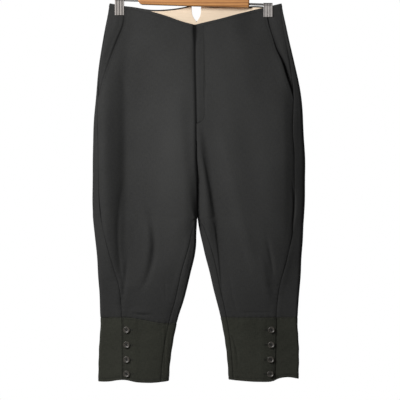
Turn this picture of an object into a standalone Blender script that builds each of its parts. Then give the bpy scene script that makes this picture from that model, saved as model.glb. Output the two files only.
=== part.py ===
"""Jodhpurs hung flat from a wooden clip hanger, in metres, with +Z up.

The front faces -Y. Left and right are the wearer's, so the wearer's right leg lies at -X. The origin is the
point inside the top of the hanger's hook that bears on a rail. Levels are millimetres below the waist at the
side edges, and widths are millimetres from the garment's middle plane, as the cloth lies flat.

Each leg and its half of the trunk is one smooth loop of cloth. Loop position 0 is the inner edge, 1 the outer
edge and 2 the inner edge again by way of the back, so 0 to 1 is the front face. Every panel is a patch of it.
"""
import bmesh
import bpy
import numpy as np

MM = 0.001

# Hanger
WIRE_RADIUS = 1.9 * MM
HOOK_INNER_RADIUS = 18.0 * MM
HOOK_TO_BAR = 95.0 * MM
HOOK_START = np.radians(-68)
HOOK_END = np.radians(200)
HOOK_NECK = 16.0 * MM
HOOK_BEND = 0.45
BAR_LENGTH = 247.0 * MM
BAR_HEIGHT = 40.0 * MM
BAR_DEPTH = 14.0 * MM
BAR_MIDDLE_X = -4.0 * MM
BAR_END_ROUND = 0.3
BAR_EDGE_ROUND = 3.0 * MM
HANGER_TILT = np.radians(1.8)
ROD_RADIUS = 2.5 * MM
ROD_ABOVE_BAR_EDGE = 8.5 * MM
ROD_SOCKET = 14.0 * MM
ROD_SHORT = 1.0 * MM
STEM_SOCKET = 14.0 * MM
SOCKET_CLEAR = 10.0 * MM
TUBE_SIDES = 12
TURN_POINTS = 9
NECK_POINTS = 8
HOOK_POINTS = 22
BEVEL_STEPS = 3
BEVEL_ANGLE = np.radians(50)
SHARP_ANGLE = np.radians(40)
CLIP_WIDTH = 20.0 * MM
CLIP_METAL = 1.2 * MM
CLIP_BITE = 22.0 * MM
CLIP_SHOULDER = 0.3 * MM
CLIP_WAIST_DROP = {"right": 4.1 * MM, "left": 8.0 * MM}

# Cloth
WAIST_ABOVE_BAR_EDGE = 6.0 * MM
WAIST_HEIGHT = -HOOK_TO_BAR - BAR_HEIGHT + WAIST_ABOVE_BAR_EDGE
MIDDLE_X = 5.0 * MM
CLOTH = 1.2 * MM
FACING_CLOTH = 1.0 * MM
LAP_CLOTH = 1.0 * MM
SEAM_GAP = 0.3 * MM
LOOP_STEP = 0.02
SPEED_STEP = 0.001
LEAST_SPEED = 0.01
PINCHED_HALF_DEPTH = 3.2 * MM
CLIP_PINCH_RUN = {-1.0: 64.0 * MM, 1.0: 32.0 * MM}
CLIP_PINCH_FLAT = 1.05
CLIP_PINCH_LEVEL = 36.0
CLIP_PINCH_FADE = 75.0
EDGE_FADE = 16.0 * MM
INNER_TURN = {"right": 6.0 * MM, "left": 18.0 * MM}
OPEN_TURN = 18.0 * MM
FRONT_FLATTER = 0.42
FRONT_FLAT_LEVEL = 160.0
BULGE_REACH = 0.5
BULGE_REACH_MORE = 0.4
BULGE_REACH_LEVEL = 200.0
LEG_START = {"right": 385.0, "left": 265.0}
LEG_RUN = 265.0
LEG_SKEW = {"right": 0.62, "left": 0.85}
CROTCH_LEVEL = 472.0
FLY_LEVEL = 265.0
CUFF_LEVEL = 690.0
CUFF_DROP = {"right": 13.0, "left": 0.0}
CUFF_DROP_SHARES = (0.1, 0.6)
FRONT_COLUMNS = 19
BACK_COLUMNS = 27
GUESS_LEVEL = 400.0
HIP_LEVEL = 120.0
CROTCH_STOPS = (452.0, CROTCH_LEVEL, 520.0)
TRUNK_AND_LEG_ROWS = (5, 6, 1, 2, 7)
HIP_ROWS = 4
UNDER_NOTCH_ROWS = 3
NOTCH_LEVEL = 38.0
NOTCH_ROWS = 5
FACING_ROWS = NOTCH_ROWS + 2
FACING_END_SHARE = 0.96
SELF_EDGE = 3.5
FLY_WIDTH = 20.0 * MM
FLY_OVERLAP = 1.5 * MM
FLY_LIFT = 0.6 * MM
FLY_COLUMNS = 4
FLY_ROWS = (9, 5)
FLY_END_ROUND = 24.0
FLY_END_SHARE = 0.03
FLY_EDGE = 0.6 * MM
POCKET_UNDERLAP = 12.0 * MM
POCKET_LEVEL = 213.0
POCKET_LIP = 3.5 * MM
POCKET_UNDER = 1.0 * MM
POCKET_COLUMNS = 7
POCKET_ROWS = (3, 3, 4)
POCKET_SHORT = 4.0
POCKET_CLOSING = 150.0
POCKET_CLOSING_RUN = 40.0
POCKET_RAMP = 14.0 * MM
POCKET_LEAST_RAMP = 1.0 * MM
PLACKET_OVERLAP = 26.0 * MM
PLACKET_RISE = 1.7 * MM
PLACKET_TAPER = 18.0 * MM
PLACKET_SHORT = 3.0 * MM
CUFF_ROWS = 5
CUFF_FRONT_COLUMNS = 11
CUFF_BACK_COLUMNS = 19
BUTTON_RADIUS = 7.4 * MM
BUTTON_THICKNESS = 2.6 * MM
BUTTON_FROM_EDGE = 10.5 * MM
BUTTON_SLACK = 0.9 * MM
BUTTON_SIDES = 16
BUTTON_PROFILE = ((0.0, 0.0), (0.86, 0.0), (1.0, 0.45), (0.9, 1.0), (0.72, 1.0), (0.58, 0.55), (0.0, 0.55))
BUTTON_LEVELS = (717.0, 749.5, 782.0, 813.5)

SIDES = {"right": -1.0, "left": 1.0}
CLIP_X = {"right": -165.5 * MM, "left": 161.0 * MM}


def table(columns, rows):
    """A table as one array for each named column."""
    return dict(zip(columns.split(), np.array(rows, float).T))


# The flat outline and the depth of the loop, one row for each level
OUTLINE = table("level right_outer left_outer half_depth edge_radius", [
    (-10, 191.0, 185.0, 13.0, 3.6),
    (0, 192.5, 186.3, 14.0, 3.6),
    (58, 202.4, 197.1, 17.0, 4.4),
    (129, 214.1, 214.5, 21.0, 5.8),
    (199, 221.8, 229.2, 25.0, 8.0),
    (270, 227.3, 234.1, 27.5, 10.0),
    (340, 229.2, 238.0, 28.5, 11.5),
    (410, 230.1, 236.9, 28.0, 12.0),
    (472, 228.4, 235.2, 26.0, 11.5),
    (551, 220.9, 231.0, 22.0, 10.0),
    (622, 215.8, 225.7, 17.5, 8.0),
    (692, 212.0, 221.1, 12.5, 6.0),
    (762, 215.8, 224.4, 11.0, 5.0),
    (840, 217.6, 223.3, 11.0, 5.0),
])

# The inner edge of each leg, and how far the inseam lies from it on the front face
INSIDE_LEG = table("level right_inner left_inner right_inseam left_inseam", [
    (472, -0.6, 0.9, 0.0, 0.0),
    (486, 0.2, 3.2, 6.0, 8.0),
    (508, 1.0, 7.5, 11.5, 12.5),
    (530, 1.4, 13.0, 15.0, 15.0),
    (551, 4.4, 18.0, 18.0, 16.5),
    (587, 13.0, 26.6, 20.0, 16.5),
    (622, 21.4, 34.3, 19.5, 15.5),
    (657, 30.8, 43.2, 18.0, 14.5),
    (692, 41.4, 52.0, 17.6, 13.0),
    (727, 49.2, 59.0, 17.6, 11.5),
    (762, 55.2, 64.2, 17.6, 10.5),
    (797, 59.6, 67.6, 17.6, 10.0),
    (840, 62.0, 70.2, 17.6, 10.0),
])

# The middle of the front and of the back, which lean a little as the garment hangs
MIDDLE = table("level front back", [
    (-10, -5.3, -1.3),
    (120, -4.0, -0.6),
    (270, -1.2, 0.3),
    (472, 0.7, 0.7),
    (840, 0.7, 0.7),
])

# How far the side seam lies from the outer edge, on the front face
SIDE_SEAM = table("level right left", [
    (-10, 1.0, 4.0),
    (100, 2.0, 9.0),
    (205, 4.0, 18.0),
    (270, 9.0, 24.0),
    (340, 13.0, 25.0),
    (440, 16.0, 22.0),
    (492, 20.0, 24.0),
    (530, 25.0, 28.0),
    (570, 33.0, 35.0),
    (626, 45.0, 45.0),
    (692, 46.5, 47.0),
    (762, 51.0, 52.0),
    (840, 53.0, 53.0),
])

# The slant edge of each pocket, from the garment's middle plane
POCKET_EDGE = table("level right left", [
    (-10, 158.0, 146.0),
    (17, 160.0, 152.0),
    (47, 163.5, 158.0),
    (78, 174.0, 167.0),
    (102, 191.0, 180.0),
    (127, 201.0, 191.5),
    (162, 209.0, 201.5),
    (200, 216.0, 210.0),
    (213, 219.5, 212.5),
    (840, 219.5, 212.5),
])

# The waist edges, by share of the way from the middle to the side
WAIST = table("share right_front left_front right_back left_back", [
    (0.00, 47.8, 47.8, -1.0, -1.0),
    (0.12, 42.0, 42.0, 5.0, 3.2),
    (0.33, 28.0, 32.0, 11.0, 4.6),
    (0.50, 18.5, 23.0, 12.0, 4.8),
    (0.67, 10.5, 14.5, 8.5, 5.0),
    (0.84, 5.5, 7.4, 5.0, 6.2),
    (1.00, 0.0, 0.0, 0.0, 0.0),
])

# The hems, by share of the way from the inner edge to the outer edge
HEM = table("share right left", [
    (0.00, 830.0, 827.0),
    (0.20, 833.0, 829.5),
    (0.45, 832.0, 831.0),
    (0.64, 827.0, 829.0),
    (0.72, 828.0, 824.0),
    (0.85, 831.0, 821.5),
    (1.00, 831.0, 825.0),
])

# Half the width of the notch at the centre back
NOTCH = table("level half_width", [
    (-10, 10.2),
    (15, 10.0),
    (22, 9.2),
    (29, 6.6),
    (35, 2.6),
    (38, 0.0),
    (840, 0.0),
])

# The largest folds, each on a curve through three points. face is -1 in front and 1 behind. inward and
# outward are its half widths toward and away from the middle plane. rise is outward, so a trough is negative.
FOLD_COLUMNS = "side face top_x top_level mid_x mid_level low_x low_level inward outward rise"
FOLD_TAPER = 0.8
FOLDS = [
    # wearer's left front
    ("left", -1, 12, 262, 37, 405, 67, 610, 11, 18, -10.0),
    ("left", -1, 7, 290, 17, 400, 32, 560, 8, 9, 4.0),
    ("left", -1, 30, 230, 66, 400, 124, 620, 18, 24, 6.0),
    ("left", -1, 136, 150, 140, 340, 148, 540, 24, 16, -3.0),
    ("left", -1, 153, 490, 164, 560, 176, 640, 10, 5, -4.0),
    ("left", -1, 174, 110, 178, 320, 174, 560, 36, 24, 13.0),
    ("left", -1, 140, 540, 146, 590, 160, 660, 9, 9, 2.0),
    # wearer's right front
    ("right", -1, -58, 190, -56, 380, -66, 600, 34, 34, 4.0),
    ("right", -1, -150, 110, -152, 330, -160, 610, 36, 18, -12.0),
    ("right", -1, -197, 120, -202, 330, -187, 610, 22, 16, 12.0),
    ("right", -1, -116, 420, -95, 540, -121, 632, 7, 5, -4.0),
    ("right", -1, -128, 425, -111, 536, -136, 628, 6, 15, 4.0),
    ("right", -1, -150, 560, -158, 610, -168, 680, 6, 6, -2.5),
    # wearer's right back
    ("right", 1, -20, 120, -34, 330, -64, 600, 14, 14, 5.0),
    ("right", 1, -52, 150, -78, 330, -100, 560, 12, 12, -6.0),
    ("right", 1, -120, 200, -116, 400, -126, 640, 22, 22, 5.0),
    ("right", 1, -168, 120, -160, 330, -150, 600, 13, 13, -5.0),
    ("right", 1, -92, 470, -112, 560, -136, 670, 9, 9, -4.0),
    # wearer's left back
    ("left", 1, 24, 150, 40, 360, 76, 630, 15, 15, 5.0),
    ("left", 1, 60, 190, 90, 390, 112, 600, 11, 11, -6.5),
    ("left", 1, 128, 130, 132, 330, 136, 590, 21, 21, 5.0),
    ("left", 1, 178, 150, 172, 350, 158, 640, 12, 12, -6.0),
    ("left", 1, 104, 500, 126, 590, 150, 680, 8, 8, -4.0),
]

COLOURS = {
    "cloth": ((0.048, 0.048, 0.046), 0.9, 0.0),
    "cuff": ((0.029, 0.030, 0.026), 0.9, 0.0),
    "facing": ((0.72, 0.60, 0.44), 0.75, 0.0),
    "button": ((0.035, 0.032, 0.028), 0.45, 0.0),
    "wood": ((0.52, 0.22, 0.07), 0.3, 0.0),
    "metal": ((0.55, 0.53, 0.50), 0.35, 1.0),
}


def smooth(t):
    """A soft step from 0 to 1."""
    t = np.clip(t, 0.0, 1.0)
    return t * t * (3.0 - 2.0 * t)


def quarter_round(t):
    """The height of a quarter circle of radius 1, level once t passes 1."""
    return np.sqrt(np.clip(1.0 - (1.0 - np.clip(t, 0.0, 1.0)) ** 2, 0.0, 1.0))


def read(columns, key, name, at):
    """A smooth curve through one column of a table."""
    x = columns[key]
    y = columns[name]
    slope = np.gradient(y, x)
    i = np.clip(np.searchsorted(x, at, side="right") - 1, 0, len(x) - 2)
    run = x[i + 1] - x[i]
    t = np.clip((at - x[i]) / run, 0.0, 1.0)
    return (y[i] * (1 + 2 * t) * (1 - t) ** 2 + slope[i] * run * t * (1 - t) ** 2
            + y[i + 1] * t * t * (3 - 2 * t) - slope[i + 1] * run * t * t * (1 - t))


def share_of(loop):
    """How far a loop position lies from the inner edge toward the outer edge."""
    return (1.0 - np.cos(np.pi * loop)) / 2.0


def face_of(loop):
    """-1 on the front face of the loop, 1 on the back."""
    behind = (loop > 1.0) & (loop <= 2.0) | (loop < 0.0)
    return np.where(behind, 1.0, -1.0)


def edges(side, loop, level):
    """The x of the inner and outer edges of a half at each point, in metres from the middle plane."""
    sign = SIDES[side]
    behind = face_of(loop) > 0
    centre = np.where(behind, read(MIDDLE, "level", "back", level), read(MIDDLE, "level", "front", level))
    trunk = centre * MM + sign * SEAM_GAP / 2
    leg = sign * read(INSIDE_LEG, "level", side + "_inner", level) * MM
    inner = np.where(level < CROTCH_LEVEL, trunk, leg)
    outer = sign * read(OUTLINE, "level", side + "_outer", level) * MM
    return inner, outer


def fold_height(side, loop, x, level):
    """How far the folds lift the cloth off the smooth loop."""
    face = face_of(loop)
    height = np.zeros(np.broadcast(x, level).shape)
    for row in FOLDS:
        fold = dict(zip(FOLD_COLUMNS.split(), row))
        if fold["side"] != side:
            continue
        run = fold["low_level"] - fold["top_level"]
        middle = (fold["mid_level"] - fold["top_level"]) / run
        t = np.clip((level - fold["top_level"]) / run, 0.0, 1.0)
        line = (fold["top_x"] * (t - middle) * (t - 1) / middle
                + fold["mid_x"] * t * (t - 1) / (middle * (middle - 1))
                + fold["low_x"] * t * (t - middle) / (1 - middle))
        across = (x / MM - line) * SIDES[side]
        width = np.where(across > 0, fold["outward"], fold["inward"])
        lift = fold["rise"] * MM * np.sin(np.pi * t) ** FOLD_TAPER * np.exp(-(across / width) ** 2)
        height += np.where(face == fold["face"], lift, 0.0)
    return height


def pinch(face, x, level):
    """1 where a clip closes the waist, fading to 0 around it and below it."""
    total = 0.0
    run = np.where(face < 0, CLIP_PINCH_RUN[-1.0], CLIP_PINCH_RUN[1.0])
    for clip in CLIP_X.values():
        aside = np.abs(x + MIDDLE_X - clip) - CLIP_WIDTH * CLIP_PINCH_FLAT
        below = (level - CLIP_PINCH_LEVEL) / CLIP_PINCH_FADE
        total = total + (1 - smooth(aside / run)) * (1 - smooth(below))
    return np.clip(total, 0.0, 1.0)


def loop_point(side, loop, level):
    """The outer face of the cloth, as x and y in metres.

    Half the depth is a quarter round at the outer edge plus a bulge, a sine squared of the share across. It
    stays open at the middle of the trunk and closes at the inner edge of each leg.
    """
    loop = np.asarray(loop, float) + 0.0 * level
    level = np.asarray(level, float) + 0.0 * loop
    inner, outer = edges(side, loop, level)
    share = share_of(loop)
    x = inner + (outer - inner) * share
    from_inner = np.abs(x - inner)
    from_outer = np.abs(outer - x)
    face = face_of(loop)
    flatter = np.where(face < 0, FRONT_FLATTER * (1 - smooth(level / FRONT_FLAT_LEVEL)), 0.0)
    depth = read(OUTLINE, "level", "half_depth", level) * MM * (1 - flatter)
    radius = read(OUTLINE, "level", "edge_radius", level) * MM
    openness = quarter_round((CROTCH_LEVEL - level) / (CROTCH_LEVEL - FLY_LEVEL))
    legness = smooth((level - np.where(face < 0, LEG_START[side], FLY_LEVEL)) / LEG_RUN)
    reach = BULGE_REACH + BULGE_REACH_MORE * smooth(level / BULGE_REACH_LEVEL)
    trunk_bulge = np.sin(np.pi / 2 * np.minimum((1 - share) / reach, 1.0)) ** 2
    leg_bulge = np.sin(np.pi * share ** np.where(face < 0, LEG_SKEW[side], 1.0)) ** 2
    bulge = trunk_bulge * (1 - legness) + leg_bulge * legness
    edge = radius * quarter_round(from_outer / radius)
    turn_in = from_inner / (INNER_TURN[side] + OPEN_TURN * openness)
    soft = np.sin(np.pi / 2 * np.minimum(turn_in, 1.0)) * openness + quarter_round(turn_in) * (1 - openness)
    half = (edge + (depth - radius) * bulge) * (openness + (1 - openness) * soft)
    closed = pinch(face, x, level)
    half = half * (1 - closed) + np.minimum(half, PINCHED_HALF_DEPTH) * closed
    clear_of_inner = openness + (1 - openness) * smooth(from_inner / EDGE_FADE)
    fold = fold_height(side, loop, x, level) * smooth(from_outer / EDGE_FADE) * clear_of_inner * (1 - closed)
    return x + MIDDLE_X, face * (half + fold)


def cloth_point(side, loop, level, inset):
    """A point of the cloth, moved in from its outer face by inset metres, square to the loop."""
    loop = loop + 0.0 * np.asarray(level)
    level = level + 0.0 * loop
    x, y = loop_point(side, loop, level)
    low, high = loop - LOOP_STEP, loop + LOOP_STEP
    trunk = level < CROTCH_LEVEL
    low = np.where(trunk & (loop <= 1.0), np.maximum(low, 0.0), low)
    high = np.where(trunk & (loop > 1.0), np.minimum(high, 2.0), high)
    x0, y0 = loop_point(side, low, level)
    x1, y1 = loop_point(side, high, level)
    dx = x1 - x0
    dy = y1 - y0
    length = np.hypot(dx, dy)
    turn = SIDES[side]
    inward = np.stack([-dy * turn, dx * turn], -1) / length[..., None]
    z = WAIST_HEIGHT - np.asarray(level) * MM
    return np.stack([x + inward[..., 0] * inset, y + inward[..., 1] * inset, z + 0.0 * x], -1)


def loop_at(side, distance, level, edge):
    """The loop position on the front face at a distance in metres from the inner or outer edge."""
    inner, outer = edges(side, np.full(np.shape(level), 0.5), level)
    width = np.abs(outer - inner)
    part = np.clip(distance / width, 0.0, 1.0)
    position = np.arccos(1.0 - 2.0 * part) / np.pi
    return position if edge == "inner" else 1.0 - position


def trimmed(side, loop, level, direction):
    """A seam's loop position, drawn back along the cloth by half the seam gap."""
    x0, y0 = loop_point(side, loop - SPEED_STEP, level)
    x1, y1 = loop_point(side, loop + SPEED_STEP, level)
    speed = np.hypot(x1 - x0, y1 - y0) / (2 * SPEED_STEP)
    return loop + direction * SEAM_GAP / 2 / np.maximum(speed, LEAST_SPEED)


def inseam(side, level):
    """The inseam's loop position: the centre front above the crotch."""
    offset = np.where(level <= CROTCH_LEVEL, 0.0, read(INSIDE_LEG, "level", side + "_inseam", level))
    return loop_at(side, offset * MM, level, "inner")


def side_seam(side, level):
    """The side seam's loop position, on the front face near the outer edge."""
    return loop_at(side, read(SIDE_SEAM, "level", side, level) * MM, level, "outer")


def pocket_edge(side, level):
    """The loop position of the pocket's slant edge, which ends at the side seam."""
    width = read(POCKET_EDGE, "level", side, level) * MM
    outer = read(OUTLINE, "level", side + "_outer", level) * MM
    slant = loop_at(side, np.maximum(outer - width, 0.0), level, "outer")
    return np.where(level < POCKET_LEVEL, np.minimum(slant, side_seam(side, level)), side_seam(side, level))


def waist_level(side, loop, face):
    """The level of the front or back waist edge at a loop position."""
    return read(WAIST, "share", side + "_" + face, share_of(loop))


def cuff_seam_level(side, loop):
    """The level of the seam between leg and cuff, lower toward the inseam on the wearer's right."""
    level_from, run = CUFF_DROP_SHARES
    return CUFF_LEVEL + CUFF_DROP[side] * (1 - smooth((share_of(loop) - level_from) / run))


def hem_level(side, loop):
    """The level of the wavy hem."""
    return read(HEM, "share", side, share_of(loop))


def material(name):
    """A plain material of the named colour."""
    colour, roughness, metallic = COLOURS[name]
    made = bpy.data.materials.new(name)
    made.use_nodes = True
    shader = made.node_tree.nodes["Principled BSDF"]
    shader.inputs["Base Color"].default_value = (*colour, 1.0)
    shader.inputs["Roughness"].default_value = roughness
    shader.inputs["Metallic"].default_value = metallic
    made.diffuse_color = (*colour, 1.0)
    return made


def add_object(name, bm, finish):
    """Turns a bmesh into a named object with its own material, faces out."""
    bmesh.ops.recalc_face_normals(bm, faces=bm.faces)
    mesh = bpy.data.meshes.new(name)
    bm.to_mesh(mesh)
    bm.free()
    made = bpy.data.objects.new(name, mesh)
    bpy.context.scene.collection.objects.link(made)
    mesh.materials.append(material(finish))
    mesh.shade_smooth()
    mesh.set_sharp_from_angle(angle=SHARP_ANGLE)
    return made


def add_wall(name, outside, inside, finish):
    """A closed wall between two grids of points, rows by columns."""
    bm = bmesh.new()
    rows, columns = outside.shape[:2]
    layers = [[[bm.verts.new(p) for p in row] for row in grid] for grid in (outside, inside)]
    for layer in layers:
        for r in range(rows - 1):
            for c in range(columns - 1):
                bm.faces.new((layer[r][c], layer[r][c + 1], layer[r + 1][c + 1], layer[r + 1][c]))
    rim = [(0, c) for c in range(columns - 1)] + [(r, columns - 1) for r in range(rows - 1)]
    rim += [(rows - 1, c) for c in range(columns - 1, 0, -1)] + [(r, 0) for r in range(rows - 1, 0, -1)]
    for here, there in zip(rim, rim[1:] + rim[:1]):
        a, b = layers[0][here[0]][here[1]], layers[0][there[0]][there[1]]
        c, d = layers[1][there[0]][there[1]], layers[1][here[0]][here[1]]
        bm.faces.new((a, b, c, d))
    bmesh.ops.triangulate(bm, faces=bm.faces)
    return add_object(name, bm, finish)


def patch_levels(top, bottom, stops, counts):
    """Rows of levels from top to bottom by way of fixed stops, each stretch in even steps."""
    marks = [top] + [np.full(np.shape(top), float(stop)) for stop in stops] + [bottom]
    rows = [marks[0]]
    for start, end, count in zip(marks, marks[1:], counts):
        rows += [start + (end - start) * (i + 1) / count for i in range(count)]
    return np.array(rows)


def patch(first, last, columns, top, bottom, stops, counts):
    """A patch's loop positions and levels, its sides given as functions of level and its ends of position."""
    share = np.linspace(0.0, 1.0, columns)
    middling = np.full(columns, GUESS_LEVEL)
    guess = first(middling) * (1 - share) + last(middling) * share
    top_loop = first(top(guess)) * (1 - share) + last(top(guess)) * share
    low_loop = first(bottom(guess)) * (1 - share) + last(bottom(guess)) * share
    levels = patch_levels(top(top_loop), bottom(low_loop), stops, counts)
    loops = first(levels) * (1 - share) + last(levels) * share
    return loops, levels


def add_front(side):
    """The front panel, from the centre front and inseam to the pocket edge and side seam."""
    loops, levels = patch(
        lambda level: trimmed(side, inseam(side, level), level, np.where(level < CROTCH_LEVEL, 0.0, 1.0)),
        lambda level: trimmed(side, pocket_edge(side, level), level, -1.0),
        FRONT_COLUMNS,
        lambda loop: waist_level(side, loop, "front"),
        lambda loop: cuff_seam_level(side, loop) - SEAM_GAP / 2 / MM,
        (HIP_LEVEL, FLY_LEVEL, *CROTCH_STOPS),
        (HIP_ROWS, *TRUNK_AND_LEG_ROWS))
    outside = cloth_point(side, loops, levels, 0.0)
    add_wall("front_" + side, outside, cloth_point(side, loops, levels, CLOTH), "cloth")


def back_end(side, level):
    """Where the back panel ends: the notch and centre back, then the inseam by way of the inner edge."""
    notch = loop_at(side, read(NOTCH, "level", "half_width", level) * MM, level, "inner")
    trunk_end = trimmed(side, 2.0 - notch, level, 0.0)
    leg_end = trimmed(side, 2.0 + inseam(side, level), level, -1.0)
    return np.where(level < CROTCH_LEVEL, trunk_end, leg_end)


def back_grid(side):
    """Loop positions and levels of the back panel, from the side seam round the outer edge to the inseam."""
    return patch(
        lambda level: trimmed(side, side_seam(side, level), level, 1.0),
        lambda level: back_end(side, level),
        BACK_COLUMNS,
        lambda loop: waist_level(side, loop, "back"),
        lambda loop: cuff_seam_level(side, loop) - SEAM_GAP / 2 / MM,
        (NOTCH_LEVEL, HIP_LEVEL, FLY_LEVEL, *CROTCH_STOPS),
        (NOTCH_ROWS, UNDER_NOTCH_ROWS, *TRUNK_AND_LEG_ROWS))


def add_back(side):
    """The back panel."""
    loops, levels = back_grid(side)
    outside = cloth_point(side, loops, levels, 0.0)
    add_wall("back_" + side, outside, cloth_point(side, loops, levels, CLOTH), "cloth")


def add_pocket(side):
    """The hip piece, which lies under the front's slant edge and rises to meet the back at the side seam."""
    def first(level):
        width = read(POCKET_EDGE, "level", side, level) * MM - POCKET_UNDERLAP
        outer = read(OUTLINE, "level", side + "_outer", level) * MM
        return loop_at(side, outer - width, level, "outer")

    def last(level):
        return trimmed(side, side_seam(side, level), level, -1.0)

    loops, levels = patch(first, last, POCKET_COLUMNS, lambda loop: waist_level(side, loop, "front"),
                          lambda loop: 0.0 * loop + POCKET_LEVEL - POCKET_SHORT,
                          (HIP_LEVEL / 2, HIP_LEVEL), POCKET_ROWS)
    x, _ = loop_point(side, loops, levels)
    slant = read(POCKET_EDGE, "level", side, levels) * MM
    past = np.abs(x - MIDDLE_X) - slant
    seam = read(OUTLINE, "level", side + "_outer", levels) * MM - read(SIDE_SEAM, "level", side, levels) * MM
    room = np.clip(seam - slant - POCKET_LIP, POCKET_LEAST_RAMP, POCKET_RAMP)
    under = CLOTH + POCKET_UNDER
    closing = 1 - smooth((levels - POCKET_CLOSING) / POCKET_CLOSING_RUN)
    inset = under * (1 - smooth((past - POCKET_LIP) / room) * closing)
    outside = cloth_point(side, loops, levels, inset)
    inside = cloth_point(side, loops, levels, inset + FACING_CLOTH)
    add_wall("pocket_" + side, outside, inside, "cloth")


def add_facing(side):
    """The pale facing inside the back waist, made from the back panel's own columns, moved in."""
    loops, levels = back_grid(side)
    behind = (loops[0] > 1.0) & (share_of(loops[0]) < FACING_END_SHARE)
    loops = loops[:FACING_ROWS, behind]
    levels = levels[:FACING_ROWS, behind]
    lower = SELF_EDGE / (levels[1] - levels[0])
    loops[0] = loops[0] + (loops[1] - loops[0]) * lower
    levels[0] = levels[0] + SELF_EDGE
    start = CLOTH + SEAM_GAP
    outside = cloth_point(side, loops, levels, start)
    inside = cloth_point(side, loops, levels, start + FACING_CLOTH)
    add_wall("waist_facing_" + side, outside, inside, "facing")


def add_fly():
    """The lap of the fly, on the wearer's left front, running just past the centre front."""
    top = waist_level("left", np.zeros(FLY_COLUMNS), "front")
    share = np.linspace(0.0, 1.0, FLY_COLUMNS)
    round_start = FLY_LEVEL - FLY_END_ROUND
    levels = patch_levels(top, np.full(FLY_COLUMNS, FLY_LEVEL), (round_start,), FLY_ROWS)
    past = np.clip((levels - round_start) / FLY_END_ROUND, 0.0, 1.0)
    width = FLY_WIDTH * np.sqrt(np.maximum(1.0 - past ** 2, FLY_END_SHARE))
    loops = loop_at("left", np.maximum(width * share, FLY_EDGE), levels, "inner")
    outside = cloth_point("left", loops, levels, -SEAM_GAP - LAP_CLOTH)
    inside = cloth_point("left", loops, levels, -SEAM_GAP)
    for grid in (outside, inside):
        grid[:, 0] -= (FLY_OVERLAP, FLY_LIFT, 0.0)
    add_wall("fly", outside, inside, "cloth")


def cuff_rise(side, loop, level):
    """How far the front cuff stands off at the placket, where it laps over the back cuff."""
    x, _ = loop_point(side, loop, level)
    seam_x, _ = loop_point(side, side_seam(side, level), level)
    away = np.abs(x - seam_x)
    return PLACKET_RISE * (1 - smooth((away - PLACKET_OVERLAP) / PLACKET_TAPER))


def add_cuffs(side):
    """The two pieces of a leg band: the front laps over the back at the placket on the side seam."""
    def cuff_top(loop):
        return cuff_seam_level(side, loop) + SEAM_GAP / 2 / MM

    def cuff_hem(loop):
        return hem_level(side, loop)

    loops, levels = patch(
        lambda level: trimmed(side, inseam(side, level), level, 1.0),
        lambda level: side_seam(side, level),
        CUFF_FRONT_COLUMNS, cuff_top, cuff_hem, (), (CUFF_ROWS,))
    rise = cuff_rise(side, loops, levels)
    add_wall("cuff_front_" + side, cloth_point(side, loops, levels, -rise),
             cloth_point(side, loops, levels, CLOTH - rise), "cuff")

    def under_placket(level):
        reach = PLACKET_OVERLAP - PLACKET_SHORT
        return loop_at(side, read(SIDE_SEAM, "level", side, level) * MM + reach, level, "outer")

    loops, levels = patch(
        under_placket,
        lambda level: trimmed(side, 2.0 + inseam(side, level), level, -1.0),
        CUFF_BACK_COLUMNS, cuff_top, cuff_hem, (), (CUFF_ROWS,))
    add_wall("cuff_back_" + side, cloth_point(side, loops, levels, 0.0),
             cloth_point(side, loops, levels, CLOTH), "cuff")


def add_buttons(side):
    """Four dished buttons down the placket, each square to the cloth under it."""
    for number, level in enumerate(BUTTON_LEVELS, 1):
        seam = read(SIDE_SEAM, "level", side, level) * MM
        loop = loop_at(side, seam + BUTTON_FROM_EDGE, level, "outer")
        rise = cuff_rise(side, loop, level)
        foot = cloth_point(side, loop, level, -rise)
        out = cloth_point(side, loop, level, -rise - 1.0 * MM) - foot
        out = out / np.linalg.norm(out)
        across = np.array([out[1], -out[0], 0.0])
        up = np.array([0.0, 0.0, 1.0])
        seat = foot + out * BUTTON_SLACK
        bm = bmesh.new()
        rings = []
        for across_share, deep_share in BUTTON_PROFILE:
            centre = seat + out * BUTTON_THICKNESS * deep_share
            radius = BUTTON_RADIUS * across_share
            if radius == 0.0:
                rings.append([bm.verts.new(centre)])
                continue
            angles = [2 * np.pi * i / BUTTON_SIDES for i in range(BUTTON_SIDES)]
            spokes = [across * np.cos(a) + up * np.sin(a) for a in angles]
            rings.append([bm.verts.new(centre + radius * spoke) for spoke in spokes])
        for low, high in zip(rings, rings[1:]):
            for i in range(BUTTON_SIDES):
                j = (i + 1) % BUTTON_SIDES
                if len(low) == 1:
                    bm.faces.new((low[0], high[i], high[j]))
                elif len(high) == 1:
                    bm.faces.new((low[i], low[j], high[0]))
                else:
                    bm.faces.new((low[i], low[j], high[j], high[i]))
        add_object(f"button_{side}_{number}", bm, "button")


def tilted(along, up):
    """A point of the bar's front plane, from along its length and up from its lower edge, as x and z."""
    low_z = -HOOK_TO_BAR - BAR_HEIGHT
    return (BAR_MIDDLE_X + along * np.cos(HANGER_TILT) + up * np.sin(HANGER_TILT),
            low_z - along * np.sin(HANGER_TILT) + up * np.cos(HANGER_TILT))


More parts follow.
